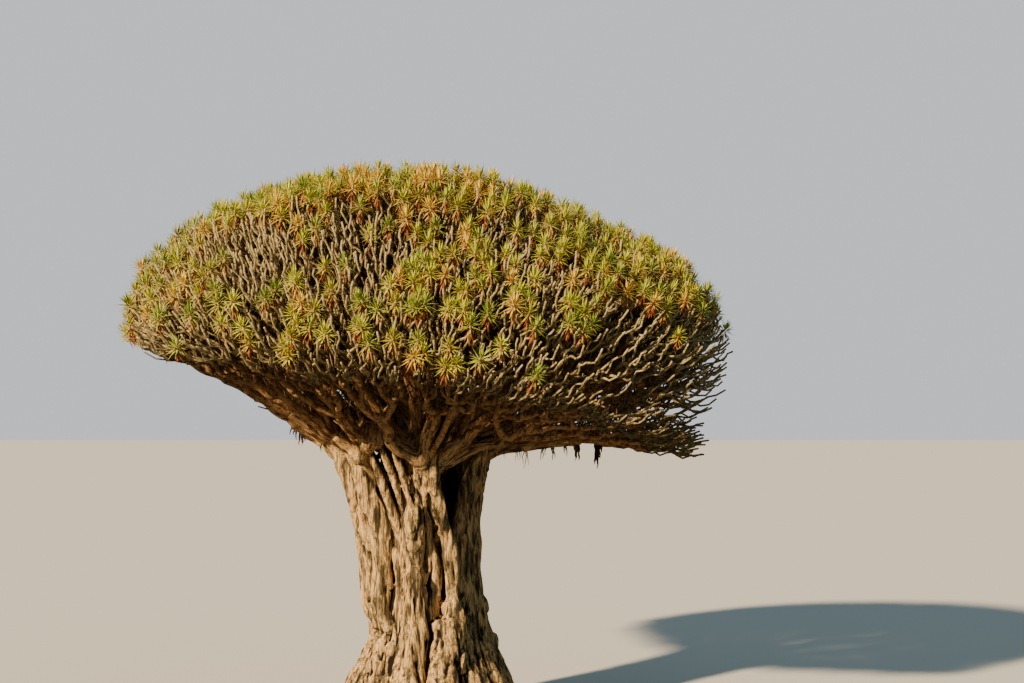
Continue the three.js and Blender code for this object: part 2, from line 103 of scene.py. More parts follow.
# How thickly twigs stand, and how many of them carry leaves, from the crown's middle to its rim.
# Each row is one direction in degrees: 0 right, 90 back, 180 left, 270 front.
PLACES = (0.0, 0.4, 0.55, 0.75, 0.88, 1.0)
DENSITY = {
    0: (1.0, 1.0, 1.0, 0.95, 0.58, 0.42),
    45: (1.0, 1.0, 1.0, 0.95, 0.56, 0.4),
    90: (1.0, 1.0, 1.0, 0.9, 0.8, 0.7),
    135: (1.0, 1.0, 1.0, 1.0, 0.9, 0.7),
    180: (1.0, 1.0, 1.0, 1.0, 0.9, 0.8),
    225: (1.0, 1.0, 0.65, 0.8, 0.85, 0.8),
    270: (1.0, 1.0, 0.75, 0.85, 0.9, 0.7),
    315: (1.0, 1.0, 0.95, 0.95, 0.7, 0.48),
}
LEAFINESS = {
    0: (0.8, 0.75, 0.7, 0.5, 0.12, 0.02),
    45: (0.8, 0.75, 0.7, 0.55, 0.25, 0.05),
    90: (0.8, 0.75, 0.65, 0.5, 0.35, 0.15),
    135: (0.85, 0.85, 0.8, 0.7, 0.5, 0.25),
    180: (0.85, 0.9, 0.75, 0.55, 0.34, 0.12),
    225: (0.8, 0.95, 0.05, 0.12, 0.24, 0.08),
    270: (0.8, 0.95, 0.12, 0.42, 0.3, 0.04),
    315: (0.8, 0.8, 0.62, 0.5, 0.12, 0.02),
}

# The trunk's waist on its left: metres, and degrees for its azimuth and its width
WAIST = {"height": 2.65, "depth": 0.45, "above": 0.65, "below": 0.9, "azimuth": 185, "width": 48}
# The trunk's columns and strands in view, from left to right.
# Each point is (height, azimuth in degrees, radius, how far it stands out).
FRONT_COLUMNS = (
    (
        (-0.4, 184, 0.66, 0.2), (1.2, 188, 0.5, 0.02), (2.4, 190, 0.36, -0.05), (3.4, 186, 0.3, -0.08),
        (5.0, 182, 0.3, -0.08), (8.2, 180, 0.26, 0.0),
    ),
    (
        (-0.4, 205, 0.66, 0.25), (1.1, 208, 0.56, 0.15), (2.0, 216, 0.46, 0.0), (2.6, 222, 0.32, -0.16),
        (3.0, 224, 0.2, -0.3),
    ),
    (
        (2.95, 203, 0.16, 0.0), (3.3, 203, 0.29, 0.12), (4.7, 203, 0.29, -0.02), (5.9, 208, 0.29, 0.02),
        (7.0, 206, 0.32, 0.06), (8.3, 198, 0.28, 0.06),
    ),
    (
        (2.75, 228, 0.16, -0.02), (3.2, 229, 0.3, 0.12), (4.7, 232, 0.31, 0.08), (5.9, 234, 0.3, 0.1),
        (7.0, 229, 0.25, 0.1), (8.3, 221, 0.22, 0.1),
    ),
    (
        (-0.4, 228, 0.62, 0.15), (1.1, 232, 0.5, 0.08), (2.1, 240, 0.38, 0.0), (2.8, 246, 0.27, -0.05),
        (3.8, 250, 0.16, -0.16), (5.6, 254, 0.12, -0.12), (6.8, 249, 0.1, -0.06), (8.2, 240, 0.1, 0.02),
    ),
    (
        (-0.4, 252, 0.6, 0.1), (1.1, 254, 0.53, 0.14), (2.35, 260, 0.43, 0.18), (3.5, 266, 0.34, 0.2),
        (4.1, 268, 0.3, 0.2), (4.4, 268, 0.26, 0.12), (4.6, 268, 0.1, -0.1),
    ),
    (
        (4.3, 267, 0.14, -0.12), (4.8, 268, 0.22, 0.0), (5.4, 270, 0.27, 0.1), (6.1, 272, 0.3, 0.16),
        (6.4, 272, 0.24, 0.1), (6.6, 271, 0.12, -0.12),
    ),
    (
        (5.7, 263, 0.07, -0.25), (6.3, 262, 0.09, -0.06), (7.2, 258, 0.1, 0.0), (7.8, 256, 0.14, 0.04),
        (8.4, 254, 0.2, 0.1),
    ),
    (
        (5.9, 269, 0.06, -0.25), (6.5, 267, 0.08, -0.05), (7.2, 266, 0.09, 0.0), (7.8, 264, 0.12, 0.04),
        (8.4, 262, 0.2, 0.1),
    ),
    (
        (1.0, 280, 0.14, -0.28), (2.35, 283, 0.17, -0.22), (3.5, 286, 0.18, -0.18), (4.7, 288, 0.18, -0.16),
        (5.9, 285, 0.15, -0.16), (7.2, 283, 0.14, -0.1), (8.2, 282, 0.12, 0.0),
    ),
    (
        (3.6, 309, 0.16, 0.0), (4.4, 309, 0.17, 0.04), (5.1, 306, 0.17, 0.07), (5.9, 299, 0.17, 0.1),
        (7.0, 292, 0.18, 0.12), (8.3, 287, 0.2, 0.08),
    ),
    (
        (-0.4, 277, 0.55, 0.1), (1.1, 283, 0.47, 0.15), (2.35, 294, 0.38, 0.19), (3.2, 303, 0.32, 0.22),
        (3.6, 305, 0.27, 0.16), (3.85, 306, 0.12, 0.0),
    ),
    (
        (-0.4, 308, 0.62, 0.0), (1.1, 313, 0.52, -0.05), (2.35, 321, 0.42, -0.06), (3.5, 327, 0.34, -0.1),
        (4.7, 329, 0.3, -0.12), (5.9, 332, 0.28, -0.06), (7.0, 341, 0.28, 0.02), (8.3, 344, 0.26, 0.0),
    ),
    (
        (-0.4, 334, 0.85, 0.1), (1.1, 338, 0.7, 0.02), (2.35, 342, 0.5, 0.0), (3.5, 346, 0.36, 0.0),
        (4.7, 350, 0.34, 0.0), (7.0, 358, 0.36, 0.05), (8.3, 360, 0.28, 0.0),
    ),
)  # fmt: skip
# Columns start below ground, where the trunk is cut, and a core behind them ends at this height.
COLUMN_FOOT, CORE_TOP = -0.4, 8.9
# Columns out of view: the azimuths between which they stand, their tops and their radii
BACK_AZIMUTHS, BACK_TOPS, BACK_RADII = (6, 178), (8.1, 8.6), (0.25, 0.34)
# Ropes of bark: where they start, how long they are, how high they end, their points' spacing and their radii
ROPE_FEET, ROPE_LENGTHS, ROPE_TOP, ROPE_STEP, ROPE_RADII = (-0.6, 4.6), (2.4, 4.4), 8.2, 0.09, (0.06, 0.095)
# Strands that run on under the boughs: where they start, where they leave the trunk, and how far round each
# bough they run, in radians from its underside
STRAND_FEET, STRAND_LEAVE, STRAND_LEANS = (4.4, 5.6), 6.3, (-0.8, 0.1, 0.9)
# Deep hollows under the fork, where no strand covers the dark: (from azimuth, to azimuth)
FORK_HOLLOWS = ((237, 263), (296, 334))
HOLLOW_FLOOR = 5.8
# On this side of the trunk the limbs leave at a sharp corner: within so many degrees of the right
SHARP_CORNER = 42
# Single burrs on the trunk: (height, azimuth in degrees, radius)
BURRS = (
    (4.35, 268, 0.3), (4.15, 262, 0.16), (5.35, 271, 0.2), (6.2, 272, 0.26), (3.5, 305, 0.26),
    (3.15, 301, 0.2), (2.75, 299, 0.17), (4.15, 308, 0.13), (3.4, 352, 0.22), (2.2, 20, 0.3),
    (4.2, 62, 0.26), (1.4, 95, 0.36), (5.3, 128, 0.24), (2.7, 160, 0.3),
)  # fmt: skip
# The wrinkled burl under the left boughs, of burrs side by side: (height, azimuth, radius)
BURL = (
    (8.4, 246, 0.3), (8.62, 243, 0.16), (8.2, 250, 0.16), (8.5, 252, 0.14), (8.22, 242, 0.15),
    (8.66, 249, 0.13), (8.3, 254, 0.12), (8.45, 240, 0.14), (8.08, 246, 0.14), (8.32, 246, 0.26),
)  # fmt: skip
# Tufts of air roots: (azimuth in degrees, distance from the crown's axis, hairs, longest hair, thickness)
AIR_ROOTS = (
    (350, 5.0, 9, 0.5, 0.034), (352, 5.45, 12, 0.78, 0.038), (340, 2.8, 2, 0.5, 0.014),
    (346, 3.2, 3, 0.7, 0.014), (352, 3.6, 3, 0.6, 0.016), (348, 4.0, 4, 0.45, 0.02),
    (344, 4.5, 5, 0.4, 0.022), (20, 4.6, 7, 0.6, 0.028), (40, 4.0, 4, 0.5, 0.018),
    (65, 3.6, 5, 0.6, 0.024), (100, 3.4, 5, 0.5, 0.022), (135, 3.2, 5, 0.6, 0.026),
    (160, 3.4, 4, 0.4, 0.02), (184, 3.7, 7, 0.5, 0.032), (192, 3.2, 9, 0.42, 0.036),
    (205, 2.8, 5, 0.5, 0.026),
)  # fmt: skip
# How much of their radius single burrs and the burl's burrs stand out
BURR_OUT, BURL_OUT = 0.6, 1.5
# Stretches of lumpy bark: (lowest, highest, from azimuth, to azimuth, burrs)
GNARLS = (
    (0.1, 2.7, 198, 246, 40), (5.2, 6.5, 212, 240, 12), (3.0, 3.8, 200, 238, 8), (0.1, 1.6, 250, 262, 7),
    (1.2, 3.2, 284, 304, 8), (0.2, 2.2, 60, 170, 16),
)  # fmt: skip
# The turn, in radians, from one leaf or twig to the next, and from one rope of bark to the next
GOLDEN_TURN, ROPE_TURN = math.pi * (3 - math.sqrt(5)), 2.39996
# Sides of the round tubes
BOUGH_SIDES, STEM_SIDES, DEAD_TWIG_SIDES, AIR_ROOT_SIDES = 18, 5, 3, 4
# The trunk's strands are rounded this much, and it takes in this many points of each bough's foot.
STRAND_ROUNDNESS, FOOT_ROWS = 4, 20
# Heights over which the trunk's colours turn into the boughs'
BOUGH_COLOUR_RISE = (7.6, 8.9)

# Tints of living leaves: the share of the rosettes that has each, and its roughness
LEAF_TINTS = {
    "fresh": (0.40, 0.48),
    "sage": (0.24, 0.5),
    "deep": (0.14, 0.46),
    "gold": (0.08, 0.52),
    "olive": (0.14, 0.5),
}
# Share of the rosettes whose dry leaves are straw coloured. The others' are rust.
STRAW_SHARE = 0.4
# Living and dry leaves: how steeply they rise, in degrees, from a rosette's lowest leaf to its topmost, the
# stretch of twig that they stand on, how far they droop, and how long and wide they are beside the sizes
LIVING = {"rise": (-28, 84), "stretch": 0.14, "droop": 0.16, "length": 1, "width": 1}
DRY = {"rise": (-82, -38), "stretch": 0.3, "droop": 0, "length": 0.95, "width": 1.1}

# The photo's camera: its place, its tilt in degrees, and its lens and film in millimetres
CAMERA_PLACE, CAMERA_TILT, LENS, FILM_WIDTH = (2.3, -42, 9.0), 92.92, 50, 36
# The sun: its direction, height and width in degrees, and its strength
SUN_AZIMUTH, SUN_RISE, SUN_WIDTH, SUN_STRENGTH = 226, 25.5, 2.5, 9.7
# The studio's light on the tree, and its brightness behind the tree
STUDIO_LIGHT, BACKDROP_LIGHT = 0.32, 0.95


def linear(hexcode):
    """An sRGB hex value as linear red, green, blue and full alpha."""
    parts = [int(hexcode[i : i + 2], 16) / 255 for i in (1, 3, 5)]
    return tuple(c / 12.92 if c <= 0.04045 else ((c + 0.055) / 1.055) ** 2.4 for c in parts) + (1.0,)


def colour_property(name, hexcode, description):
    return bpy.props.FloatVectorProperty(
        name=name, description=description, subtype="COLOR", size=4, min=0, max=1, default=linear(hexcode)
    )


def length_property(name, default, description):
    return bpy.props.FloatProperty(
        name=name, description=description, default=default, min=0.001, unit="LENGTH"
    )


def count_property(name, default, description):
    return bpy.props.IntProperty(name=name, description=description, default=default, min=1)


class TrunkSizes(bpy.types.PropertyGroup):
    waist_radius: length_property("Waist radius", 1.56, "Radius of the trunk at its slimmest")
    root_flare: length_property("Root flare", 1.18, "How much wider the trunk is at the ground")
    flare_height: length_property("Flare height", 2.25, "Height over which the flare dies out")
    head_spread: length_property("Head spread", 0.75, "How much wider the trunk is at the fork")
    voxel: length_property("Voxel", 0.042, "Voxel that fuses the columns and ropes")
    faces: count_property("Faces", 172000, "Triangles in the trunk's bark")
    furrow: length_property("Furrow", 0.066, "Depth of the fine furrows in the bark")
    back_columns: count_property("Back columns", 12, "Columns out of view")
    ropes: count_property("Ropes", 165, "Ropes of bark that cling to the columns")


class CrownSizes(bpy.types.PropertyGroup):
    tips: count_property("Tips", 3000, "Places for a twig's tip over the crown")
    low_tips: count_property("Low tips", 215, "Bare twigs on low limbs")
    stem_top: length_property("Stem top", 16.05, "Height of the highest stem tip, under its leaves")
    tip_radius: length_property("Tip radius", 0.035, "Radius of a twig at its tip")
    thickening: bpy.props.FloatProperty(
        name="Thickening", description="A stem's radius grows by this power of its tips", default=0.385
    )
    twig_length: length_property("Twig length", 1.05, "Length of a twig from its last fork")
    dead_twigs: count_property("Dead twigs", 3, "Dead side twigs on each stem")
    leaf_length: length_property("Leaf length", 0.35, "Length of a sword leaf")
    leaf_width: length_property("Leaf width", 0.045, "Width of a sword leaf at its widest")
    leaves: count_property("Leaves", 38, "Living leaves in a rosette")
    dry_leaves: count_property("Dry leaves", 13, "Dry leaves hanging under a rosette")


class TreeColours(bpy.types.PropertyGroup):
    bark_pale: colour_property("Pale bark", "#dab67c", "Weathered face of the trunk's ridges")
    bark_grey: colour_property("Grey bark", "#7c6a48", "Older bark on the trunk")
    bark_rust: colour_property("Rust bark", "#b0713f", "Fresh, reddish bark in patches")
    # the furrow colour also serves as painted shade in furrows, hollows and the middle of the crown
    bark_deep: colour_property("Furrow", "#1a130d", "Bark in the furrows")
    bough_warm: colour_property("Warm bough", "#9b6336", "Red-brown bark of the boughs")
    bough_grey: colour_property("Grey bough", "#c89f6c", "Lichen-grey bark of the boughs")
    stem_tan: colour_property("Tan stem", "#86774f", "Bark of the stems that carry the twigs")
    twig_pale: colour_property("Pale twig", "#b9a97c", "Sunlit bark of the twigs")
    twig_brown: colour_property("Brown twig", "#57452d", "Old leaf scars on the twigs")
    leaf_fresh: colour_property("Fresh leaf", "#bdbf40", "Yellow-green leaves")
    leaf_sage: colour_property("Sage leaf", "#a5af4a", "Grey-green leaves")
    leaf_deep: colour_property("Deep leaf", "#889837", "Deep green leaves")
    leaf_gold: colour_property("Gold leaf", "#d8b84a", "Leaves turning yellow")
    leaf_olive: colour_property("Olive leaf", "#aca63c", "Olive leaves")
    dry_rust: colour_property("Rust leaf", "#9a5526", "Dry leaves, rust")
    dry_straw: colour_property("Straw leaf", "#b88444", "Dry leaves, straw")


def mix(a, b, share):
    return a + (b - a) * share


def smooth(low, high, value):
    """0 below low, 1 above high, and an even S between."""
    share = np.clip((value - low) / (high - low), 0, 1)
    return share * share * (3 - 2 * share)


def by_side(values, azimuth):
    """The value in one direction, from those of the right, back, left and front."""
    c, s = math.cos(azimuth), math.sin(azimuth)
    return values[0 if c > 0 else 2] * c * c + values[1 if s > 0 else 3] * s * s


def hump(value, start, full, fade, end):
    """0 outside start and end, 1 from full to fade, and even in between."""
    return smooth(start, full, value) * (1 - smooth(fade, end, value))


def unit(vector):
    return vector / max(np.linalg.norm(vector), 1e-9)


def units(vectors):
    return vectors / np.linalg.norm(vectors, axis=-1, keepdims=True)


def streamline(azimuth, share, top):
    """The four points, as (radius, height), of the curve that stems follow."""
    u = math.sin(share * math.pi / 2)
    rim = by_side(RIM_HEIGHT, azimuth)
    dome = (1 - min(share, 1) ** by_side(SHOULDER_POWER, azimuth)) ** by_side(SHOULDER_ROUND, azimuth)
    lean = share**3
    tuck = by_side(RIM_TUCK, azimuth) * max(0, (share - TUCK_START) / (1 - TUCK_START)) ** 2
    foot = (FORK_RADIUS * u, FORK_HEIGHT - (FORK_DROP - by_side(FOOT_LIFT, azimuth)) * u)
    tip = (by_side(RIM_REACH, azimuth) * u * (1 - tuck), rim + (top - rim) * dome + brow(azimuth, share))
    leave = (
        foot[0] + by_side(LEAVE_OUT, azimuth) * u,
        foot[1] + mix(CENTRE_RISE, by_side(LEAVE_UP, azimuth), u),
    )
    arrive = (
        tip[0] - by_side(ARRIVE_OUT, azimuth) * lean,
        tip[1] - mix(CENTRE_RISE, by_side(ARRIVE_UP, azimuth), lean),
    )
    return np.array([foot, leave, arrive, tip])


def brow(azimuth, share):
    """How far the crown's top stands up here over its open front."""
    degrees = math.degrees(azimuth) % 360
    return BROW_HEIGHT * hump(degrees, *BROW_TURN) * hump(share, *BROW_SHARE)


def foot_turn(azimuth):
    """How far round a bough's foot is drawn to the crotch at the trunk's front."""
    degrees = math.degrees(azimuth) % 360
    return math.radians(CROTCH_AZIMUTH - degrees) * CROTCH_DRAW * hump(degrees, *CROTCH_TURN)


def read_table(table, azimuth, share):
    """A value from a table of directions and places, evened out between its rows and columns."""
    degrees = math.degrees(azimuth) % 360
    rows = [np.interp(share, PLACES, row) for row in (*table.values(), table[0])]
    return float(np.interp(degrees, (*table, 360), rows))


def crown_point(azimuth, share, t, top):
    s = 1 - t
    weights = np.array([s * s * s, 3 * s * s * t, 3 * s * t * t, t * t * t])
    radius, height = weights @ streamline(azimuth, share, top)
    return np.array([AXIS[0] + radius * math.cos(azimuth), AXIS[1] + radius * math.sin(azimuth), height])


def crown_direction(azimuth, share, t, top):
    return unit(crown_point(azimuth, share, t + 0.01, top) - crown_point(azimuth, share, t, top))


def line_length(azimuth, share, top):
    line = np.array([crown_point(azimuth, share, t, top) for t in np.linspace(0, 1, 9)])
    return float(np.linalg.norm(np.diff(line, axis=0), axis=1).sum())


def place_of(tips):
    """Azimuth and share at the middle of some tips. A tip is (share * cos, share * sin)."""
    a, b = np.mean(tips, axis=0)
    shares = np.hypot(tips[:, 0], tips[:, 1])
    # tips along the rim keep their stem at the rim
    return math.atan2(b, a), float(shares.mean()) if shares.min() > RIM_ONLY else math.hypot(a, b)


def part_tips(tips, parts):
    """Tips parted across their longest spread."""
    off = tips - tips.mean(axis=0)
    angle = 0.5 * math.atan2(2 * (off[:, 0] * off[:, 1]).sum(), (off[:, 0] ** 2 - off[:, 1] ** 2).sum())
    order = np.argsort(off[:, 0] * math.cos(angle) + off[:, 1] * math.sin(angle), kind="stable")
    return [tips[part] for part in np.array_split(order, parts) if len(part)]


def plant_crown(sizes, random):
    """Every bough with its masses, and each mass with the tips in its own space."""
    boughs = []
    for ring in RINGS:
        width = 2 * math.pi / ring["boughs"]
        for i in range(ring["boughs"]):
            start = ring["turn"] + i * width
            boughs.append(
                {
                    "name": f"bough_{ring['name']}_{i + 1}",
                    "ring": ring,
                    "place": (start + width / 2, mix(ring["from"], ring["to"], 0.55)),
                    "start": start,
                    "width": width,
                    "masses": [[] for _ in range(MASSES_PER_BOUGH)],
                    "low": [],
                }
            )
    for i in range(sizes.tips):
        turn = (i * GOLDEN_TURN) % (2 * math.pi)
        share = (math.acos(1 - (i + 0.5) / sizes.tips) * 2 / math.pi) ** by_side(RIM_CROWDING, turn)
        if random.random() > read_table(DENSITY, turn, share):
            continue
        for bough in boughs:
            if not bough["ring"]["from"] <= share < bough["ring"]["to"]:
                continue
            along = (turn - bough["start"]) % (2 * math.pi)
            if along < bough["width"]:
                mass = bough["masses"][int(along / bough["width"] * MASSES_PER_BOUGH)]
                mass.append((share * math.cos(turn), share * math.sin(turn)))
    outer = [bough for bough in boughs if bough["ring"]["name"] == "outer"]
    for i in range(sizes.low_tips):
        turn = math.radians(mix(*LOW_LIMB_TURN, (i + random.uniform(0.1, 0.9)) / sizes.low_tips))
        share = mix(*LOW_LIMB_SHARE, random.random() ** 2)
        bough = outer[int((turn - outer[0]["start"]) % (2 * math.pi) / outer[0]["width"])]
        bough["low"].append((share * math.cos(turn), share * math.sin(turn)))
    return boughs


class Growth:
    """Grows one bough after another and keeps its lines: each line is (points, radii)."""

    def __init__(self, sizes, seed):
        self.sizes = sizes
        self.top = sizes.stem_top
        self.random = np.random.default_rng(seed)
        self.boughs = {}
        self.stems, self.twigs, self.dead_twigs, self.rosettes = (
            {ring["name"]: [] for ring in RINGS} for _ in range(4)
        )

    def radius(self, count):
        return self.sizes.tip_radius * count**self.sizes.thickening

    def depth(self, count, length):
        """How far below the crown's surface a stem that carries this many tips forks."""
        rank = math.log2(count) / MOST_FORKS
        # the stems after a bough's first forks run on long and bare
        long_limb = 0.085 * math.exp(-(((rank - 0.8) / 0.09) ** 2))
        return mix(self.sizes.twig_length, DEEPEST_FORK * length, rank**1.5 - long_limb)

    def wander(self, points, size):
        """Points swayed off their line, and not at its ends."""
        share = np.linspace(0, 1, len(points))
        along = unit(points[-1] - points[0])
        side = unit(np.cross(along, [0.31, 0.52, 0.79]))
        swayed = points.copy()
        for axis in (side, np.cross(along, side)):
            waves = self.random.uniform(0.8, 1.9) if size > 0.06 else self.random.uniform(0.4, 1.1)
            phase = self.random.uniform(0, 2 * math.pi)
            sway = np.sin(share * math.pi) ** 0.7 * np.sin(share * waves * 2 * math.pi + phase) * size
            swayed += np.outer(sway, axis)
        return swayed

    def grow_bough(self, bough):
        masses = [np.array(tips) for tips in bough["masses"] if tips]
        count = sum(len(tips) for tips in masses)
        length = line_length(*bough["place"], self.top)
        end_t = 1 - self.depth(count, length) / length
        steps = np.linspace(BOUGH_FOOT, end_t, BOUGH_ROWS)
        azimuth, share = bough["place"]
        bend = foot_turn(azimuth)
        line = [crown_point(azimuth + bend * (1 - smooth(0.05, 0.3, t)), share, t, self.top) for t in steps]
        points = self.wander(np.array(line), 0.05)
        radii = np.linspace(1.12, 1.0, BOUGH_ROWS) * self.radius(count)
        self.boughs[bough["name"]] = [(points, radii)]
        heading = unit(points[-1] - points[-2])
        for tips in masses:
            self.stem(bough, count, tips, points[-1], heading, end_t, radii[-1])
        if bough["low"]:
            row, tips = LOW_LIMB_ROW, np.array(bough["low"])
            heading = unit((points[row + 1] - points[row]) * np.array([1, 1, 0.1]))
            self.stem(bough, count, tips, points[row], heading, steps[row], radii[row] * 0.6)

    def stem(self, bough, every, tips, start, heading, start_t, parent_radius):
        """One stem from a fork to the next, or to its twig's tip, and then all that it carries."""
        ring = bough["ring"]["name"]
        place = place_of(tips)
        count = len(tips)
        length = line_length(*place, self.top)
        last = count == 1
        if last:
            inset = self.random.uniform(*TIP_INSET)
        else:
            inset = self.depth(count, length) * self.random.uniform(*FORK_STRAY)
        t = max(1 - inset / length, start_t + SHORTEST_STEM / length)
        end = crown_point(*place, t, self.top)
        direction = crown_direction(*place, t, self.top)
        if last:
            direction = unit(direction + np.array([0, 0, 0.35]))
        else:
            end += self.random.normal(0, FORK_ASTRAY, 3)
        span = np.linalg.norm(end - start)
        aside = (end - start) - heading * np.dot(end - start, heading)
        hook = mix(1.7, 0.8, min(1, math.log2(count) / 6))
        leaving = unit(unit(aside) * min(1.0, hook * np.linalg.norm(aside) / span) + heading * 0.65)
        limb = count > every * LIMB_SHARE
        steps = max(14, int(span / LIMB_STEP)) if limb else 9 if count > 4 else 7
        # the stem leaves its fork along the stem below it and comes in along the crown's own line
        u = np.linspace(0, 1, steps)[:, None]
        v = 1 - u
        near, far = start + leaving * span * 0.34, end - direction * span * 0.42
        points = v**3 * start + 3 * v * v * u * near + 3 * v * u * u * far + u**3 * end
        points = self.wander(points, min(0.09, 0.105 * span) if count < 5 else 0.05)
        radius = self.radius(count)
        radii = mix(min(radius * 1.3, parent_radius), radius, np.minimum(u[:, 0] * 2.5, 1))
        radii = radii * (1 + 0.04 * np.sin(np.linspace(0, span * 14, steps) + count))
        if last:
            radii *= np.linspace(1.05, 0.8, steps)
            self.twigs[ring].append((points, radii))
            self.leaf_out(ring, place, points)
            return
        if limb:
            self.boughs[bough["name"]].append((points, radii))
            self.die_back(ring, points[len(points) // 3 :], 4 * self.sizes.dead_twigs)
        else:
            self.stems[ring].append((points, radii))
            more = -1 if end[2] < LEAF_FLOOR + 1 else int(end[0] > 1.5)
            self.die_back(ring, points, self.sizes.dead_twigs + more)
        parts = 3 if count > 5 and self.random.random() < THREE_WAY else 2
        heading = unit(points[-1] - points[-2])
        for group in part_tips(tips, parts):
            self.stem(bough, every, group, points[-1], heading, t, radius)

    def leaf_out(self, ring, place, twig):
        """A rosette on a twig's tip, where this place in the crown has leaves."""
        if self.random.random() >= read_table(LEAFINESS, *place):
            return
        tip = twig[-1]
        facing = unit(unit(tip - twig[-2]) * 0.5 + np.array([0, 0, 0.55]))
        size = self.random.uniform(*ROSETTE_SIZES)
        floor = mix(LEAF_FLOOR, LEAF_FLOOR_RIGHT, smooth(2.6, 4.6, tip[0]))
        # small rosettes may hang a little lower than large ones
        if tip[2] > floor + 5 * (size - 0.97):
            self.rosettes[ring].append((tip, facing, size))

    def die_back(self, ring, stem, count):
        """Dead twigs on the sides of a stem. They point outwards and bend up."""
        for _ in range(count):
            row = int(self.random.integers(1, len(stem) - 1))
            off = stem[row, :2] - AXIS
            if stem[row, 2] < BARE_FORK_TOP and math.hypot(*off) < BARE_FORK:
                continue
            along = unit(stem[row + 1] - stem[row])
            outward = unit(np.array([*off, 2.5]))
            way = unit(unit(np.cross(along, self.random.normal(0, 1, 3))) + 0.5 * along + 0.9 * outward)
            way[2] = abs(way[2])
            steps = np.linspace(0, self.random.uniform(*DEAD_TWIG_LENGTH), 3)[:, None]
            points = stem[row] + way * steps + self.random.normal(0, 0.09, (3, 3)) * steps
            points += steps**2 * np.array([0, 0, 0.55])
            self.dead_twigs[ring].append((points, np.linspace(*DEAD_TWIG_RADII, 3)))


_crown = {}


def crown(context):
    """The crown's lines, grown once for all operators. The same seeds give the same tree each time."""
    if "growth" not in _crown:
        sizes = context.scene.dragon_tree_crown
        _crown["growth"] = growth = Growth(sizes, 11)
        for bough in plant_crown(sizes, np.random.default_rng(5)):
            growth.grow_bough(bough)
    return _crown["growth"]


def lattice(cell, seed):
    """A steady random value for each whole-numbered cell."""
    x, y, z = np.moveaxis(cell * np.array([73856093, 19349663, 83492791]), -1, 0)
    mixed = x ^ y ^ z ^ (seed * 2654435)
    mixed = (mixed ^ (mixed >> 13)) * 1274126177
    return ((mixed ^ (mixed >> 16)) & 0xFFFF) / 65535.0


def noise(points, seed):
    """Smooth noise from 0 to 1 at points whose unit is the pattern's own size."""
    cell = np.floor(points).astype(np.int64)
    part = points - cell
    part = part * part * (3 - 2 * part)
    total = 0
    for corner in np.ndindex(2, 2, 2):
        near = np.where(corner, part, 1 - part)
        total = total + near[:, 0] * near[:, 1] * near[:, 2] * lattice(cell + corner, seed)
    return total


def ridges(points, seed):
    """Sharp ridges at 1 and furrows at 0."""
    return 1 - np.abs(2 * noise(points, seed) - 1)


def deselect():
    for obj in bpy.context.selected_objects:
        obj.select_set(False)


def sweep(name, lines, roundness):
    """Round tubes along lines, as one mesh: a path primitive is given the lines and their radii."""
    deselect()
    bpy.ops.curve.primitive_nurbs_path_add()
    obj = bpy.context.object
    obj.name = name
    curve = obj.data
    curve.splines.clear()
    for points, radii in lines:
        spline = curve.splines.new("POLY")
        spline.points.add(len(points) - 1)
        spline.points.foreach_set("co", np.c_[points, np.ones(len(points))].ravel())
        spline.points.foreach_set("radius", np.asarray(radii, float))
    curve.dimensions = "3D"
    curve.bevel_depth = 1
    curve.bevel_resolution = roundness
    curve.use_fill_caps = True
    bpy.ops.object.convert(target="MESH")
    obj = bpy.context.object
    obj.data.name = name
    return obj


def mesh_piece(name, points, faces):
    """A piece from an array of points and arrays of faces, each array with its own count of corners."""
    corners = np.concatenate([part.ravel() for part in faces]).astype(np.int32)
    counts = np.concatenate([np.full(len(part), part.shape[1]) for part in faces])
    mesh = bpy.data.meshes.new(name)
    mesh.vertices.add(len(points))
    mesh.vertices.foreach_set("co", points.astype(np.float32).ravel())
    mesh.loops.add(len(corners))
    mesh.loops.foreach_set("vertex_index", corners)
    mesh.polygons.add(len(counts))
    mesh.polygons.foreach_set("loop_start", np.r_[0, np.cumsum(counts)[:-1]].astype(np.int32))
    mesh.update(calc_edges=True)
    obj = bpy.data.objects.new(name, mesh)
    bpy.context.collection.objects.link(obj)
    return obj


def tube_faces(steps, sides):
    """Faces of one closed tube: quads between its rings, and three-cornered faces at its ends."""
    ring = np.arange(sides)
    after = (ring + 1) % sides
    row = np.arange(steps - 1)[:, None] * sides
    quads = np.stack([row + ring, row + after, row + sides + after, row + sides + ring], axis=-1)
    last = (steps - 1) * sides
    foot = np.stack([np.full(sides, steps * sides), after, ring], axis=-1)
    head = np.stack([np.full(sides, steps * sides + 1), last + ring, last + after], axis=-1)
    return quads.reshape(-1, 4), np.concatenate([foot, head])


def with_ends(values, foot=None, head=None):
    """Values over some tubes, one row for each tube, then those of its two end points."""
    flat = values.reshape(len(values), -1, *values.shape[3:])
    foot = flat[:, :1] if foot is None else foot
    head = flat[:, -1:] if head is None else head
    return np.concatenate([flat, foot, head], axis=1)


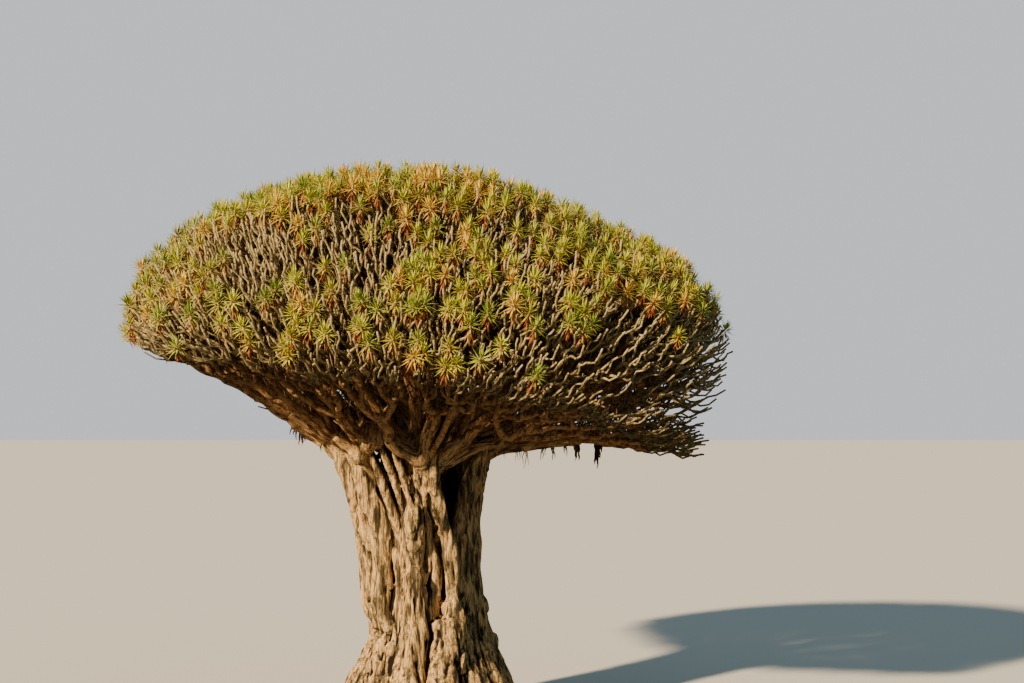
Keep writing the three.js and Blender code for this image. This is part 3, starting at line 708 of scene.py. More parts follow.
def tubes(name, lines, sides, bark=None):
    """Round, closed tubes along lines as one mesh. Bark is a function that gives each place its relief."""
    points, quads, ends, reliefs, courses = [], [], [], [], []
    first = 0
    turn = np.arange(sides) * 2 * math.pi / sides
    for steps in sorted({len(line) for line, _ in lines}):
        centre = np.array([line for line, _ in lines if len(line) == steps])
        radius = np.array([radii for line, radii in lines if len(line) == steps])
        tangent = units(np.gradient(centre, axis=1))
        side = np.empty_like(tangent)
        way = np.cross(tangent[:, 0], [0.35, 0.62, 0.7])
        for k in range(steps):
            way = units(way - tangent[:, k] * (way * tangent[:, k]).sum(axis=1, keepdims=True))
            side[:, k] = way
        other = np.cross(tangent, side)
        reach = np.repeat(radius[..., None], sides, axis=2)
        if bark:
            strides = np.linalg.norm(np.diff(centre, axis=1, prepend=centre[:, :1]), axis=2)
            along = np.repeat(np.cumsum(strides, axis=1)[..., None], sides, axis=2)
            # each tube has its own stretch of the bark's pattern
            along = along + centre[:, :1, None].sum(axis=-1) * 3
            course = np.stack([np.cos(turn) * reach, np.sin(turn) * reach, along], axis=-1)
            relief = bark(course, reach)
            reach = reach * (1 + 0.28 * (relief - 0.55))
            courses.append(with_ends(course).reshape(-1, 3))
            reliefs.append(with_ends(relief).ravel())
        ring = np.cos(turn)[:, None] * side[:, :, None] + np.sin(turn)[:, None] * other[:, :, None]
        rings = centre[:, :, None] + reach[..., None] * ring
        foot = centre[:, :1] - tangent[:, :1] * radius[:, :1, None] * 0.5
        head = centre[:, -1:] + tangent[:, -1:] * radius[:, -1:, None] * 0.5
        block = with_ends(rings, foot, head)
        points.append(block.reshape(-1, 3))
        tube_quads, tube_ends = tube_faces(steps, sides)
        start = first + np.arange(len(centre))[:, None, None] * block.shape[1]
        quads.append((start + tube_quads).reshape(-1, 4))
        ends.append((start + tube_ends).reshape(-1, 3))
        first += block.shape[0] * block.shape[1]
    obj = mesh_piece(name, np.concatenate(points), [np.concatenate(quads), np.concatenate(ends)])
    if bark:
        # the stored relief also paints shade into the bark's furrows, through its material
        store(obj.data, "relief", np.concatenate(reliefs))
        store(obj.data, "course", np.concatenate(courses))
    deselect()
    obj.select_set(True)
    bpy.context.view_layer.objects.active = obj
    bpy.ops.object.shade_smooth()
    return obj


def vertices(mesh, field):
    """Each vertex's place ("co") or direction ("normal")."""
    flat = np.empty(len(mesh.vertices) * 3, np.float32)
    mesh.vertices.foreach_get(field, flat)
    return flat.reshape(-1, 3).astype(float)


def move_to(mesh, points):
    mesh.vertices.foreach_set("co", points.astype(np.float32).ravel())
    mesh.update()


def store(mesh, name, values):
    """A value or a vector for each vertex, which a material can read."""
    kind, field = ("FLOAT", "value") if values.ndim == 1 else ("FLOAT_VECTOR", "vector")
    attribute = mesh.attributes.new(name, kind, "POINT")
    attribute.data.foreach_set(field, values.astype(np.float32).ravel())


def hollows(mesh, points, outward, rounds):
    """How far each vertex lies below its surroundings once they are evened out, in metres."""
    ends = np.empty(len(mesh.edges) * 2, np.int32)
    mesh.edges.foreach_get("vertices", ends)
    one, two = ends.reshape(-1, 2).T
    size = len(points)
    count = np.bincount(one, minlength=size) + np.bincount(two, minlength=size)
    even = points
    for _ in range(rounds):
        sums = [
            np.bincount(one, even[two, k], minlength=size) + np.bincount(two, even[one, k], minlength=size)
            for k in range(3)
        ]
        even = np.stack(sums, axis=-1) / count[:, None]
    return ((even - points) * outward).sum(axis=1)


def settle(obj, material, nodes):
    """A finished piece: its material, its body and the solids that it stands for."""
    obj.data.materials.clear()
    obj.data.materials.append(material)
    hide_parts(*nodes)
    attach(obj, "root")


def nodes_of(kind, ring):
    return sorted(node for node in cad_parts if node.startswith(f"{kind}_{ring}_"))


def add_node(material, kind, inputs=None, stops=(), **settings):
    """Adds one node. An input is a value for its socket, or another node's socket to link.

    Stops are a colour ramp's places and colours.
    """
    tree = material.node_tree
    made = tree.nodes.new(kind)
    for name, value in settings.items():
        setattr(made, name, value)
    for key, value in (inputs or {}).items():
        if isinstance(value, bpy.types.NodeSocket):
            tree.links.new(value, made.inputs[key])
        else:
            made.inputs[key].default_value = value
    for index, (place, colour) in enumerate(stops):
        elements = made.color_ramp.elements
        element = elements[index] if index < len(elements) else elements.new(place)
        element.position = place
        element.color = colour
    return made


def blank(name, roughness, specular):
    material = bpy.data.materials.new(name)
    material.use_nodes = True
    shader = material.node_tree.nodes["Principled BSDF"]
    shader.inputs["Roughness"].default_value = roughness
    shader.inputs["Specular IOR Level"].default_value = specular
    return material, shader


def bark_material(name, low, high, deep, climb, stretch, scale, course=False, furrows_and_shade=0.0, heart_shade=False):
    """Fibrous bark. Low and high each hold a dull, a pale and a reddish colour.

    Low turns into high over the two heights of climb. Scale is how many patches come to a metre: 5 gives
    patches 200 mm wide. The fine grain is drawn about 50 mm wide there, coarser than life, so that it shows.
    A limb's fibres follow its own course. With furrows, dark cracks are drawn, and places low in the stored
    relief get painted shade. Heart shade paints shade on bark in the middle of the crown, behind the fork.
    """
    material, shader = blank(name, 0.92, 0.2)
    link = material.node_tree.links.new
    place = stood = add_node(material, "ShaderNodeTexCoord").outputs["Object"]
    height = add_node(material, "ShaderNodeSeparateXYZ", {"Vector": place}).outputs["Z"]
    reach = {"Value": height, "From Min": climb[0], "From Max": climb[1]}
    risen = add_node(material, "ShaderNodeMapRange", reach).outputs["Result"]
    if course:
        place = add_node(material, "ShaderNodeAttribute", attribute_name="course").outputs["Vector"]
    drawn_out = {"Vector": place, "Scale": (1, 1, stretch)}
    long = add_node(material, "ShaderNodeMapping", drawn_out).outputs["Vector"]
    pattern = {"Vector": long, "Scale": scale, "Detail": 8.0, "Roughness": 0.66}
    patches = add_node(material, "ShaderNodeTexNoise", pattern).outputs["Fac"]
    shades = []
    for dull, pale, rust in (low, high):
        dark = tuple(mix(d, g, 0.4) for d, g in zip(deep, dull))
        first = 0.4 if furrows_and_shade else 0.37
        stops = ((first, dark), (0.45, dull), (0.52, pale), (0.58, pale), (0.66, rust))
        shades.append(add_node(material, "ShaderNodeValToRGB", {"Fac": patches}, stops).outputs["Color"])
    both = {0: risen, 6: shades[0], 7: shades[1]}
    colour = add_node(material, "ShaderNodeMix", both, data_type="RGBA").outputs[2]
    if furrows_and_shade:
        drawn_out = {"Vector": place, "Scale": (1, 1, stretch * 0.45)}
        fibres = add_node(material, "ShaderNodeMapping", drawn_out).outputs["Vector"]
        pattern = {"Vector": fibres, "Scale": scale * 2.2, "Detail": 4.0, "Roughness": 0.6}
        wave = add_node(material, "ShaderNodeTexNoise", pattern).outputs["Fac"]
        light, shut = (1, 1, 1, 1), (0.09, 0.078, 0.06, 1)
        stops = ((0.44, light), (0.49, shut), (0.51, shut), (0.56, light))
        cracks = add_node(material, "ShaderNodeValToRGB", {"Fac": wave}, stops).outputs["Color"]
        lined = {0: furrows_and_shade, 6: colour, 7: cracks}
        lines = add_node(material, "ShaderNodeMix", lined, data_type="RGBA", blend_type="MULTIPLY")
        colour = lines.outputs[2]
        # painted shade: places low in the stored relief, in furrows and hollows, turn to the furrow colour
        depth = add_node(material, "ShaderNodeAttribute", attribute_name="relief").outputs["Fac"]
        shade = add_node(material, "ShaderNodeMapRange", {"Value": depth, "From Min": 0.24, "From Max": 0.6})
        sink = {0: shade.outputs["Result"], 6: tuple(deep), 7: colour}
        colour = add_node(material, "ShaderNodeMix", sink, data_type="RGBA").outputs[2]
    # painted shade: bark near the middle of the crown, behind the fork, is darkened towards the furrow colour
    if heart_shade:
        level = {0: stood, 1: (1, 1, 0)}
        flat = add_node(material, "ShaderNodeVectorMath", level, operation="MULTIPLY").outputs["Vector"]
        middle = {0: flat, 1: (*HEART_SHADE_MIDDLE, 0)}
        away = add_node(material, "ShaderNodeVectorMath", middle, operation="DISTANCE").outputs["Value"]
        reach = {"Value": away, "From Min": HEART_SHADE_FULL, "From Max": HEART_SHADE_END, "To Min": 0.12}
        painted_shade = add_node(material, "ShaderNodeMapRange", reach).outputs["Result"]
        sink = {0: painted_shade, 6: tuple(deep), 7: colour}
        colour = add_node(material, "ShaderNodeMix", sink, data_type="RGBA").outputs[2]
    link(colour, shader.inputs["Base Color"])
    pattern = {"Vector": long, "Scale": scale * 4, "Detail": 8.0, "Roughness": 0.7}
    grain = add_node(material, "ShaderNodeTexNoise", pattern).outputs["Fac"]
    bump = add_node(material, "ShaderNodeBump", {"Height": grain, "Strength": 1.0, "Distance": 0.16 / scale})
    link(bump.outputs["Normal"], shader.inputs["Normal"])
    return material


def leaf_material(name, colour, roughness):
    """A sword leaf: one base colour for its spray, lighter and darker in flecks some 110 mm wide."""
    material, shader = blank(name, roughness, 0.4)
    place = add_node(material, "ShaderNodeTexCoord").outputs["Object"]
    pattern = {"Vector": place, "Scale": 9.0, "Detail": 2.0}
    fleck = add_node(material, "ShaderNodeTexNoise", pattern).outputs["Fac"]
    dark = tuple(c * 0.72 for c in colour[:3]) + (1.0,)
    light = tuple(min(1, c * 1.25) for c in colour[:3]) + (1.0,)
    stops = ((0.36, dark), (0.5, tuple(colour)), (0.66, light))
    shades = add_node(material, "ShaderNodeValToRGB", {"Fac": fleck}, stops).outputs["Color"]
    material.node_tree.links.new(shades, shader.inputs["Base Color"])
    return material


def bark_tones(colours):
    """Dull, pale and reddish bark: first the trunk's, then the boughs'."""
    trunk = (colours.bark_grey, colours.bark_pale, colours.bark_rust)
    return trunk, (colours.bough_warm, colours.bough_grey, colours.bough_warm)


def trunk_axis(height):
    return AXIS[0] * np.clip(height / TRUNK_TOP, 0, 1) ** 0.9


def trunk_radius(sizes, height):
    flare = sizes.root_flare * np.exp(-((np.maximum(height, 0) / sizes.flare_height) ** 1.5))
    return sizes.waist_radius + flare + sizes.head_spread * np.clip(height / TRUNK_TOP, 0, 1.05) ** 4


def waist(height, degrees):
    """How far the trunk draws in over its foot, on its left."""
    off = height - WAIST["height"]
    side = (degrees - WAIST["azimuth"] + 180) % 360 - 180
    tall = np.where(off > 0, WAIST["above"], WAIST["below"])
    return WAIST["depth"] * np.exp(-((off / tall) ** 2) - (side / WAIST["width"]) ** 2)


def round_trunk(height, azimuth, reach):
    """Points this far from the trunk's middle line, at their heights and azimuths."""
    return np.stack([trunk_axis(height) + reach * np.cos(azimuth), reach * np.sin(azimuth), height], axis=-1)


def on_trunk(sizes, height, degrees, radius, out):
    """Where a strand's middle stands so that its outer side meets the trunk's surface."""
    reach = trunk_radius(sizes, height) - radius + out - waist(height, degrees)
    return round_trunk(height, np.radians(degrees), reach)


def trunk_columns(sizes):
    """The trunk's columns: those in view by their own tables, the others by rule."""
    random = np.random.default_rng(3)
    columns = []
    for table in FRONT_COLUMNS:
        heights, degrees, radii, outs = np.array(table).T
        z = np.linspace(heights[0], heights[-1], 40)
        width = np.interp(z, heights, radii) * (1 - 0.7 * smooth(7.1, 8.3, z))
        turned = np.interp(z, heights, degrees) + 1.4 * np.sin(z * 2.3 + degrees[0])
        points = on_trunk(sizes, z, turned, width, np.interp(z, heights, outs))
        columns.append((points, width * (1 + 0.05 * np.sin(z * 5 + degrees[0]))))
    for i in range(sizes.back_columns):
        z = np.linspace(COLUMN_FOOT, random.uniform(*BACK_TOPS), 40)
        low = np.exp(-np.maximum(z, 0) / 1.5)
        width = random.uniform(*BACK_RADII) * mix(1, 1.9, low) * (1 - 0.55 * smooth(6.6, 8.2, z))
        degrees = mix(*BACK_AZIMUTHS, (i + random.uniform(0.3, 0.7)) / sizes.back_columns)
        swing = 3 * np.sin(z * 0.9 + random.uniform(0, 6)) + 1.2 * (z - 4)
        points = on_trunk(sizes, z, degrees + swing, width, random.uniform(-0.03, 0.1) + 0.15 * low)
        columns.append((points, width))
    # a core behind them all, drawn in at the fork
    z = np.linspace(COLUMN_FOOT, CORE_TOP, 38)
    hollow = mix(0.72, 1.3, smooth(4.6, 7.0, z)) + 0.35 * smooth(7.6, CORE_TOP, z)
    middle = trunk_axis(z) + 0.25 * smooth(7.4, 8.3, z)
    columns.append((np.stack([middle, 0 * z, z], axis=-1), trunk_radius(sizes, z) - hollow))
    return columns


def column_reach(columns, height, azimuth):
    """How far the columns reach out from the trunk's middle line, at many heights and azimuths."""
    reach = np.zeros(len(height))
    for points, radii in columns:
        z = points[:, 2]
        x = np.interp(height, z, points[:, 0]) - trunk_axis(height)
        y = np.interp(height, z, points[:, 1])
        radius = np.interp(height, z, radii)
        ahead = x * np.cos(azimuth) + y * np.sin(azimuth)
        aside = np.abs(x * np.sin(azimuth) - y * np.cos(azimuth))
        met = (aside < radius) & (height >= z[0]) & (height <= z[-1])
        far = ahead + np.sqrt(np.maximum(radius**2 - aside**2, 0))
        reach = np.where(met, np.maximum(reach, far), reach)
    return reach


def in_fork_hollow(azimuth):
    return any(first < math.degrees(azimuth) % 360 < last for first, last in FORK_HOLLOWS)


def even_out(values, near):
    """Each value averaged with this many neighbours on each side."""
    window = 2 * near + 1
    return np.convolve(np.pad(values, near, mode="edge"), np.ones(window) / window, mode="valid")


def bark_ropes(sizes, columns):
    """Ropes of bark that cling to the columns, each over its own stretch of the trunk."""
    random = np.random.default_rng(17)
    ropes = []
    for i in range(sizes.ropes):
        low = random.uniform(*ROPE_FEET)
        z = np.arange(low, min(low + random.uniform(*ROPE_LENGTHS), ROPE_TOP), ROPE_STEP)
        azimuth = i * ROPE_TURN + random.uniform(-0.05, 0.05) * (z - low)
        azimuth = azimuth + 0.02 * np.sin(z * random.uniform(2, 4) + random.uniform(0, 6))
        if in_fork_hollow(azimuth[0]):
            z, azimuth = z[z < HOLLOW_FLOOR], azimuth[z < HOLLOW_FLOOR]
        if len(z) < 12:
            continue
        reach = even_out(column_reach(columns, z, azimuth), 3)
        width = random.uniform(*ROPE_RADII) * mix(1, 1.4, math.exp(-max(low, 0) / 2))
        radii = width * np.sin(np.linspace(0.12, 3.0, len(z))) ** 0.5
        ropes.append((round_trunk(z, azimuth, reach - 0.3 * radii), radii))
    return ropes


def bough_roots(columns, boughs):
    """Strands that climb the trunk and run on along the underside of each bough."""
    random = np.random.default_rng(29)
    strands = []
    for name, lines in boughs.items():
        if "outer" not in name:
            continue
        limb, limb_radii = lines[0]
        tangent = units(np.gradient(limb, axis=0))
        under = units(tangent * tangent[:, 2:] - np.array([0, 0, 1]))
        side = np.cross(tangent, under)
        for lean in STRAND_LEANS:
            z = np.linspace(random.uniform(*STRAND_FEET), STRAND_LEAVE, 8)
            azimuth = math.atan2(limb[6, 1], limb[6, 0] - AXIS[0]) + lean * 0.2 + 0 * z
            if in_fork_hollow(azimuth[0]) or abs(math.degrees(azimuth[0])) < SHARP_CORNER:
                continue
            low = round_trunk(z, azimuth, column_reach(columns, z, azimuth) - 0.05)
            around = math.cos(lean) * under + math.sin(lean) * side
            high = (limb + around * (limb_radii * 0.85)[:, None])[7:]
            line = np.concatenate([low, high])
            rows = np.linspace(0, len(line) - 1, 40)
            course = [even_out(np.interp(rows, np.arange(len(line)), axis), 4) for axis in line.T]
            radii = np.interp(rows, [0, len(low), len(line) - 1], [0.08, 0.17, 0.05])
            strands.append((np.stack(course, axis=-1), radii))
    return strands


def all_burrs():
    """Each burr as (height, azimuth in degrees, radius, how much of its radius stands out)."""
    random = np.random.default_rng(37)
    burrs = [(*burr, BURR_OUT) for burr in BURRS] + [(*burr, BURL_OUT) for burr in BURL]
    for lowest, highest, first, last, count in GNARLS:
        for _ in range(count):
            height, degrees = random.uniform(lowest, highest), random.uniform(first, last)
            radius = random.uniform(0.12, 0.26) * (1.3 - 0.1 * height)
            burrs.append((height, degrees, radius, random.uniform(0.2, 0.7)))
    return burrs


def wrinkle(mesh, radius):
    """Wrinkles a burr of this radius."""
    points = vertices(mesh, "co")
    folds = ridges(points * 1.9 / radius + 40 * radius, 8)
    move_to(mesh, points * (0.72 + 0.5 * folds)[:, None])


class DRAGONTREE_OT_trunk(bpy.types.Operator):
    """Fuses the trunk's columns, ropes, burrs and the feet of the boughs, and gives them furrowed bark"""

    bl_idname = "dragon_tree.trunk"
    bl_label = "Trunk"

    def execute(self, context):
        sizes = context.scene.dragon_tree_trunk
        colours = context.scene.dragon_tree_colours
        boughs = crown(context).boughs
        columns = trunk_columns(sizes)
        feet = []
        for lines in boughs.values():
            points, radii = lines[0]
            feet.append((points[:FOOT_ROWS], radii[:FOOT_ROWS] * np.linspace(1.25, 0.84, FOOT_ROWS)))
        lines = columns + bark_ropes(sizes, columns) + bough_roots(columns, boughs) + feet
        obj = sweep("trunk_bark", lines, STRAND_ROUNDNESS)
        burrs = []
        for height, degrees, radius, out in all_burrs():
            middle = on_trunk(sizes, np.array(height), degrees, radius, radius * out)
            bpy.ops.mesh.primitive_ico_sphere_add(
                subdivisions=3, radius=radius, location=middle, scale=(1, 1, 1.25)
            )
            wrinkle(context.object.data, radius)
            burrs.append(context.object)
        for burr in burrs:
            burr.select_set(True)
        obj.select_set(True)
        context.view_layer.objects.active = obj
        bpy.ops.object.join()
        fuse = obj.modifiers.new("Fuse strands", "REMESH")
        fuse.mode = "VOXEL"
        fuse.voxel_size = sizes.voxel
        bpy.ops.object.modifier_apply(modifier=fuse.name)
        bpy.ops.object.mode_set(mode="EDIT")
        bpy.ops.mesh.select_all(action="SELECT")
        bpy.ops.mesh.bisect(plane_co=(0, 0, 0), plane_no=(0, 0, 1), use_fill=True, clear_inner=True)
        bpy.ops.object.mode_set(mode="OBJECT")
        self.cut_bark(obj, sizes)
        thin = obj.modifiers.new("Thin out faces", "DECIMATE")
        thin.ratio = min(1, sizes.faces / len(obj.data.polygons) / 2)
        bpy.ops.object.modifier_apply(modifier=thin.name)
        bpy.ops.object.shade_smooth()
        # weathered fibrous bark: dry, matt ridges in pale and grey patches with dark cracks, and painted
        # shade, near black, in the furrows and hollows between them and in the middle of the fork
        low, high = bark_tones(colours)
        bark = bark_material(
            "Weathered fibrous trunk bark",
            low,
            high,
            colours.bark_deep,
            BOUGH_COLOUR_RISE,
            stretch=0.14,
            scale=5.0,
            furrows_and_shade=0.8,
        )
        settle(obj, bark, ["trunk"])
        return {"FINISHED"}

    def cut_bark(self, obj, sizes):
        """Furrows the fused bark, and notes how deep each place lies, which paints shade into its colour."""
        mesh = obj.data
        points, outward = vertices(mesh, "co"), vertices(mesh, "normal")
        # broad and fine furrows that run up the trunk and wander, and crumbs between them
        warp = np.stack([noise(points * 1.7 + k * 7, 20 + k) - 0.5 for k in range(3)], axis=-1) * 0.5
        long = (points + warp * 0.6) * np.array([1, 1, 0.13])
        broad = ridges(long * 3.6, 1)
        fine = ridges(long * 8.5 + 9, 2)
        crumbs = noise(points * np.array([11, 11, 5]), 3)
        depth = 0.35 * broad + 0.45 * fine + 0.2 * crumbs
        # lumps up to the fork, and no relief at the cut
        lumps = noise(points * np.array([1.6, 1.6, 0.8]), 4) - 0.5
        move = sizes.furrow * (depth - 0.5) * 2 + 0.1 * lumps * (1 - smooth(6.6, 7.4, points[:, 2]))
        move *= (1 - 0.6 * smooth(6.9, 8.2, points[:, 2])) * smooth(0.0, 0.12, points[:, 2])
        points = points + outward * move[:, None]
        move_to(mesh, points)
        outward = vertices(mesh, "normal")
        # places that lie below their surroundings get painted shade, and so does the middle of the fork
        near = np.clip(hollows(mesh, points, outward, 5) / 0.012, -1, 1)
        wide = np.clip(hollows(mesh, points, outward, 50) / 0.06, -1, 1)
        relief = np.clip(0.6 - 0.28 * near - 0.3 * wide + 0.4 * (depth - 0.5), 0, 1)
        inner = 1 - smooth(1.35, 1.75, np.hypot(points[:, 0] - AXIS[0], points[:, 1]))
        store(mesh, "relief", relief * (1 - inner * smooth(6.0, 7.0, points[:, 2])))


def bough_bark(course, radius):
    """Long, broken ridges that follow a bough."""
    around = course / np.stack([radius, radius, np.ones_like(radius)], axis=-1)
    broad = (around * np.array([1.6, 1.6, 0.7])).reshape(-1, 3)
    fine = (around * np.array([3.4, 3.4, 2.0])).reshape(-1, 3)
    return (0.6 * ridges(broad, 6) + 0.4 * ridges(fine, 7)).reshape(radius.shape)


class DRAGONTREE_OT_boughs(bpy.types.Operator):
    """Makes each bough with its first forks and gives it scarred bark"""

    bl_idname = "dragon_tree.boughs"
    bl_label = "Boughs"

    def execute(self, context):
        colours = context.scene.dragon_tree_colours
        # bark scarred by old leaf bases: warm and matt, in pale and red-brown patches with dark cracks, and
        # painted shade in its furrows and in the middle of the crown, behind the fork
        low, high = bark_tones(colours)
        bark = bark_material(
            "Red-brown scarred bough bark",
            low,
            high,
            colours.bark_deep,
            BOUGH_COLOUR_RISE,
            stretch=0.25,
            scale=8.0,
            course=True,
            furrows_and_shade=0.75,
            heart_shade=True,
        )
        for name, lines in crown(context).boughs.items():
            obj = tubes(f"{name}_bark", lines, BOUGH_SIDES, bough_bark)
            settle(obj, bark, [name])
        return {"FINISHED"}


class DRAGONTREE_OT_stems(bpy.types.Operator):
    """Makes the forking stems, the twigs that end them and the dead twigs on their sides"""

    bl_idname = "dragon_tree.stems"
    bl_label = "Stems and Twigs"

    def execute(self, context):
        colours = context.scene.dragon_tree_colours
        growth = crown(context)
        deep, warm, brown = colours.bark_deep, colours.bough_warm, colours.twig_brown
        grey, tan, pale = colours.bough_grey, colours.stem_tan, colours.twig_pale
        # young bark: browner and duller towards the tips, with patches 140 mm wide, and painted shade in the
        # middle of the crown, behind the fork
        low, high = (warm, grey, warm), (brown, brown, tan)
        stem_bark = bark_material(
            "Brown stem bark", low, high, deep, (8.6, 11.0), stretch=0.7, scale=7.0, heart_shade=True
        )
        # twigs ringed by leaf scars: paler tan high in the crown, as painted light, and browner lower down,
        # as painted shade
        low, high = (brown, tan, grey), (tan, pale, tan)
        twig_bark = bark_material(
            "Pale ringed twig bark", low, high, brown, (8.4, 10.4), stretch=1.0, scale=12.0
        )
        # dry dead wood: dull brown without any shine, with painted shade in the middle of the crown, behind
        # the fork
        dry = (brown, tan, warm)
        dead_bark = bark_material(
            "Dry dead twig bark", dry, dry, deep, (8.0, 9.0), stretch=1.0, scale=12.0, heart_shade=True
        )
        pieces = (
            ("stems", growth.stems, STEM_SIDES, stem_bark),
            ("twigs", growth.twigs, STEM_SIDES, twig_bark),
            ("dead_twigs", growth.dead_twigs, DEAD_TWIG_SIDES, dead_bark),
        )
        for ring in RINGS:
            name = ring["name"]
            for kind, lines, sides, bark in pieces:
                obj = tubes(f"{kind}_{name}", lines[name], sides)
                settle(obj, bark, nodes_of("mass", name))
        return {"FINISHED"}


class DRAGONTREE_OT_air_roots(bpy.types.Operator):
    """Makes the tufts of thin roots that hang under the boughs and stems"""

    bl_idname = "dragon_tree.air_roots"
    bl_label = "Air Roots"

    def execute(self, context):
        colours = context.scene.dragon_tree_colours
        growth = crown(context)
        random = np.random.default_rng(41)
        limbs = [line for lines in growth.boughs.values() for line in lines] + growth.stems["outer"]
        points = np.concatenate([line for line, _ in limbs])
        under = points - np.concatenate([radii for _, radii in limbs])[:, None] * np.array([0, 0, 0.5])
        off = points[:, :2] - AXIS
        distance, turn = np.hypot(off[:, 0], off[:, 1]), np.degrees(np.arctan2(off[:, 1], off[:, 0]))
        hairs = []
        for azimuth, out, count, longest, thickness in AIR_ROOTS:
            astray = np.abs((turn - azimuth + 180) % 360 - 180) / 12 + np.abs(distance - out) / 0.3
            near = np.flatnonzero(astray < max(1.0, astray.min() + 0.01))
            foot = under[near[np.argmin(under[near, 2])]]
            for _ in range(count):
                length = longest * random.uniform(0.35, 1.0)
                z = np.linspace(0, -length, 7)
                sway = np.cumsum(random.normal(0, 0.016, (7, 2)), axis=0) + random.normal(0, 0.04, 2)
                line = foot + np.c_[sway, z]
                hairs.append((line, thickness * np.array([1, 1.1, 0.9, 0.8, 0.65, 0.5, 0.25])))
        # bundles of root fibres: dark and matt
        dark = (colours.bark_deep, colours.twig_brown, colours.bough_warm)
        bark = bark_material(
            "Dark fibrous air root", dark, dark, colours.bark_deep, (8.0, 9.0), stretch=0.5, scale=12.0
        )
        roots = tubes("air_roots", hairs, AIR_ROOT_SIDES)
        settle(roots, bark, nodes_of("bough", "outer"))
        return {"FINISHED"}


def leaf_places(rosettes, leaves, shape, sizes, random):
    """Feet, ways, sides, lengths, width and droop of all the leaves of some rosettes, by the golden angle."""
    tips, facing, scales = (np.array(part) for part in zip(*rosettes))
    across = units(np.cross(facing, [0.3, 0.9, 0.2]))
    other = np.cross(facing, across)
    order = (np.arange(leaves) + 0.5) / leaves
    turn = np.arange(leaves) * GOLDEN_TURN + random.uniform(0, 6.3, (len(rosettes), 1))
    rise = np.radians(mix(*shape["rise"], order) + random.normal(0, 7, turn.shape))
    flat = np.cos(turn)[..., None] * across[:, None] + np.sin(turn)[..., None] * other[:, None]
    ways = np.cos(rise)[..., None] * flat + np.sin(rise)[..., None] * facing[:, None]
    sides = np.cross(facing[:, None], flat)
    down = mix(-shape["stretch"], 0.02, order)[None, :, None]
    feet = tips[:, None] + facing[:, None] * down + flat * 0.025
    longest = sizes.leaf_length * shape["length"]
    lengths = longest * scales[:, None] * random.uniform(0.78, 1.08, turn.shape)
    droop = shape["droop"] * (1 - ways[..., 2] ** 2)
    width = sizes.leaf_width * shape["width"]
    rows = [part.reshape(-1, 3) for part in (feet, ways, sides)]
    return *rows, lengths.ravel(), width, droop.ravel()


def blades(name, feet, ways, sides, lengths, width, droop):
    """Keeled sword leaves as one mesh. Each has a foot, a keel, two edges and a point."""
    middle = feet + ways * (lengths * 0.36)[:, None]
    edge = sides * width / 2
    keel = middle - np.cross(sides, ways) * width * 0.3
    tip = feet + ways * lengths[:, None] + np.array([0, 0, -1]) * (droop * lengths)[:, None]
    points = np.stack([feet, middle - edge, keel, middle + edge, tip], axis=1).reshape(-1, 3)
    first = np.arange(len(feet))[:, None] * 5
    quads = np.concatenate([first + np.array([0, 2, 4, 1]), first + np.array([0, 3, 4, 2])])
    return mesh_piece(name, points, [quads])


def leaf_pieces(kind, ring, rosettes, dealt, materials, leaves, shape, sizes, random):
    """The leaves of one ring of the crown, as one piece for each tint that its rosettes are dealt."""
    for tint, material in materials.items():
        own = [rosette for rosette, given in zip(rosettes, dealt) if given == tint]
        obj = blades(f"{kind}_{ring}_{tint}", *leaf_places(own, leaves, shape, sizes, random))
        settle(obj, material, nodes_of("mass", ring))


class DRAGONTREE_OT_leaves(bpy.types.Operator):
    """Makes the rosettes of sword leaves, each rosette in one tint"""

    bl_idname = "dragon_tree.leaves"
    bl_label = "Leaves"

    def execute(self, context):
        sizes = context.scene.dragon_tree_crown
        colours = context.scene.dragon_tree_colours
        random = np.random.default_rng(23)
        # leathery living leaves: a soft waxy sheen over yellow-green to deep green
        materials = {
            tint: leaf_material(f"Leathery leaf, {tint}", getattr(colours, f"leaf_{tint}"), roughness)
            for tint, (_, roughness) in LEAF_TINTS.items()
        }
        chances = [share for share, _ in LEAF_TINTS.values()]
        for ring, rosettes in crown(context).rosettes.items():
            dealt = random.choice(list(LEAF_TINTS), len(rosettes), p=chances)
            place = np.array([tip for tip, _, _ in rosettes])
            # leaves turn yellow first on the crown's right and on its top
            turning = 0.18 * smooth(-1, 6, place[:, 0]) + 0.3 * smooth(14.4, 15.6, place[:, 2])
            dealt[random.random(len(rosettes)) < turning] = "gold"
            leaf_pieces("leaves", ring, rosettes, dealt, materials, sizes.leaves, LIVING, sizes, random)
        return {"FINISHED"}


class DRAGONTREE_OT_dry_leaves(bpy.types.Operator):
    """Makes the dry leaves that hang under the rosettes"""

    bl_idname = "dragon_tree.dry_leaves"
    bl_label = "Dry Leaves"

    def execute(self, context):
        sizes = context.scene.dragon_tree_crown
        colours = context.scene.dragon_tree_colours
        random = np.random.default_rng(31)
        # dead leaves: matt and papery, rust or straw coloured
        materials = {
            tint: leaf_material(f"Dry papery leaf, {tint}", getattr(colours, f"dry_{tint}"), 0.85)
            for tint in ("rust", "straw")
        }
        for ring, rosettes in crown(context).rosettes.items():
            dealt = np.where(random.random(len(rosettes)) < STRAW_SHARE, "straw", "rust")
            leaf_pieces("dry", ring, rosettes, dealt, materials, sizes.dry_leaves, DRY, sizes, random)
        return {"FINISHED"}


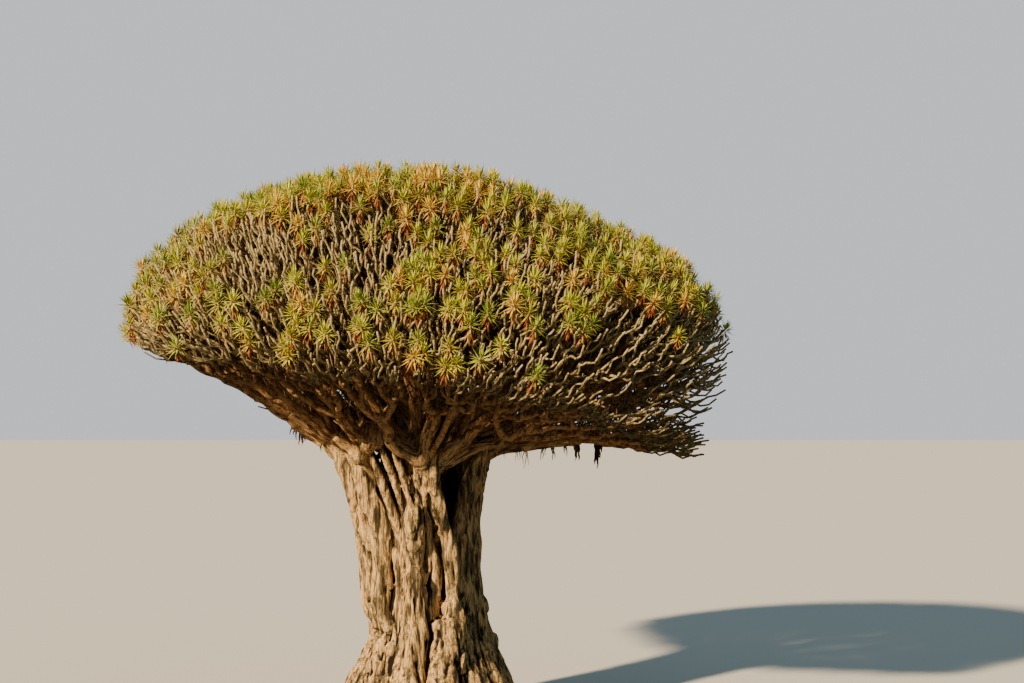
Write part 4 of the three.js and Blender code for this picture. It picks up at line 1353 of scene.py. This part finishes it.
class DRAGONTREE_OT_stage(bpy.types.Operator):
    """Makes the floor, the light and the camera"""

    bl_idname = "dragon_tree.stage"
    bl_label = "Stage"

    def execute(self, context):
        deselect()
        bpy.ops.mesh.primitive_plane_add(size=900, location=(0, 0, -0.001))
        floor = context.object
        floor.name = "floor"
        # plain matt studio floor: pale to the camera, and darker to the light that it throws back
        paper, shader = blank("Matt pale floor", 0.95, 0.1)
        rays = add_node(paper, "ShaderNodeLightPath").outputs["Is Camera Ray"]
        shown = {0: rays, 6: linear("#68665f"), 7: linear("#dcd9d2")}
        tone = add_node(paper, "ShaderNodeMix", shown, data_type="RGBA").outputs[2]
        paper.node_tree.links.new(tone, shader.inputs["Base Color"])
        floor.data.materials.append(paper)

        world = bpy.data.worlds.new("Pale studio")
        world.use_nodes = True
        back = world.node_tree.nodes["Background"]
        back.inputs["Color"].default_value = linear("#c2e0ee")
        back.inputs["Strength"].default_value = STUDIO_LIGHT
        backdrop = {"Color": linear("#dfe3e6"), "Strength": BACKDROP_LIGHT}
        seen = add_node(world, "ShaderNodeBackground", backdrop)
        rays = add_node(world, "ShaderNodeLightPath").outputs["Is Camera Ray"]
        shown = {0: rays, 1: back.outputs[0], 2: seen.outputs[0]}
        both = add_node(world, "ShaderNodeMixShader", shown).outputs[0]
        world.node_tree.links.new(both, world.node_tree.nodes["World Output"].inputs["Surface"])
        context.scene.world = world

        bpy.ops.object.light_add(type="SUN", location=(-30, -30, 30))
        key = context.object
        key.name = "key_light"
        key.data.energy = SUN_STRENGTH
        key.data.angle = math.radians(SUN_WIDTH)
        key.data.color = linear("#ffe2bb")[:3]
        key.rotation_euler = (math.radians(90 - SUN_RISE), 0, math.radians(SUN_AZIMUTH + 90))

        bpy.ops.object.camera_add(location=CAMERA_PLACE, rotation=(math.radians(CAMERA_TILT), 0, 0))
        camera = context.object
        camera.data.lens = LENS
        camera.data.sensor_width = FILM_WIDTH
        camera.data.clip_end = 1000
        context.scene.camera = camera
        return {"FINISHED"}


class DRAGONTREE_PT_panel(bpy.types.Panel):
    bl_label = "Dragon Blood Tree"
    bl_idname = "DRAGONTREE_PT_panel"
    bl_space_type = "VIEW_3D"
    bl_region_type = "UI"
    bl_category = "Dragon Tree"

    def draw(self, context):
        for group in GROUPS:
            settings = getattr(context.scene, group)
            for name in settings.__annotations__:
                self.layout.prop(settings, name)
        for operator in OPERATORS:
            self.layout.operator(operator.bl_idname)


GROUPS = {
    "dragon_tree_trunk": TrunkSizes,
    "dragon_tree_crown": CrownSizes,
    "dragon_tree_colours": TreeColours,
}
OPERATORS = (
    DRAGONTREE_OT_stage,
    DRAGONTREE_OT_trunk,
    DRAGONTREE_OT_boughs,
    DRAGONTREE_OT_stems,
    DRAGONTREE_OT_air_roots,
    DRAGONTREE_OT_leaves,
    DRAGONTREE_OT_dry_leaves,
)
CLASSES = (*GROUPS.values(), *OPERATORS, DRAGONTREE_PT_panel)


def register():
    for cls in CLASSES:
        bpy.utils.register_class(cls)
    for name, group in GROUPS.items():
        setattr(bpy.types.Scene, name, bpy.props.PointerProperty(type=group))


def unregister():
    for name in GROUPS:
        delattr(bpy.types.Scene, name)
    for cls in reversed(CLASSES):
        bpy.utils.unregister_class(cls)


def main():
    register()
    bpy.ops.dragon_tree.stage()
    bpy.ops.dragon_tree.trunk()
    bpy.ops.dragon_tree.boughs()
    bpy.ops.dragon_tree.stems()
    bpy.ops.dragon_tree.air_roots()
    bpy.ops.dragon_tree.leaves()
    bpy.ops.dragon_tree.dry_leaves()


if __name__ == "__main__":
    main()
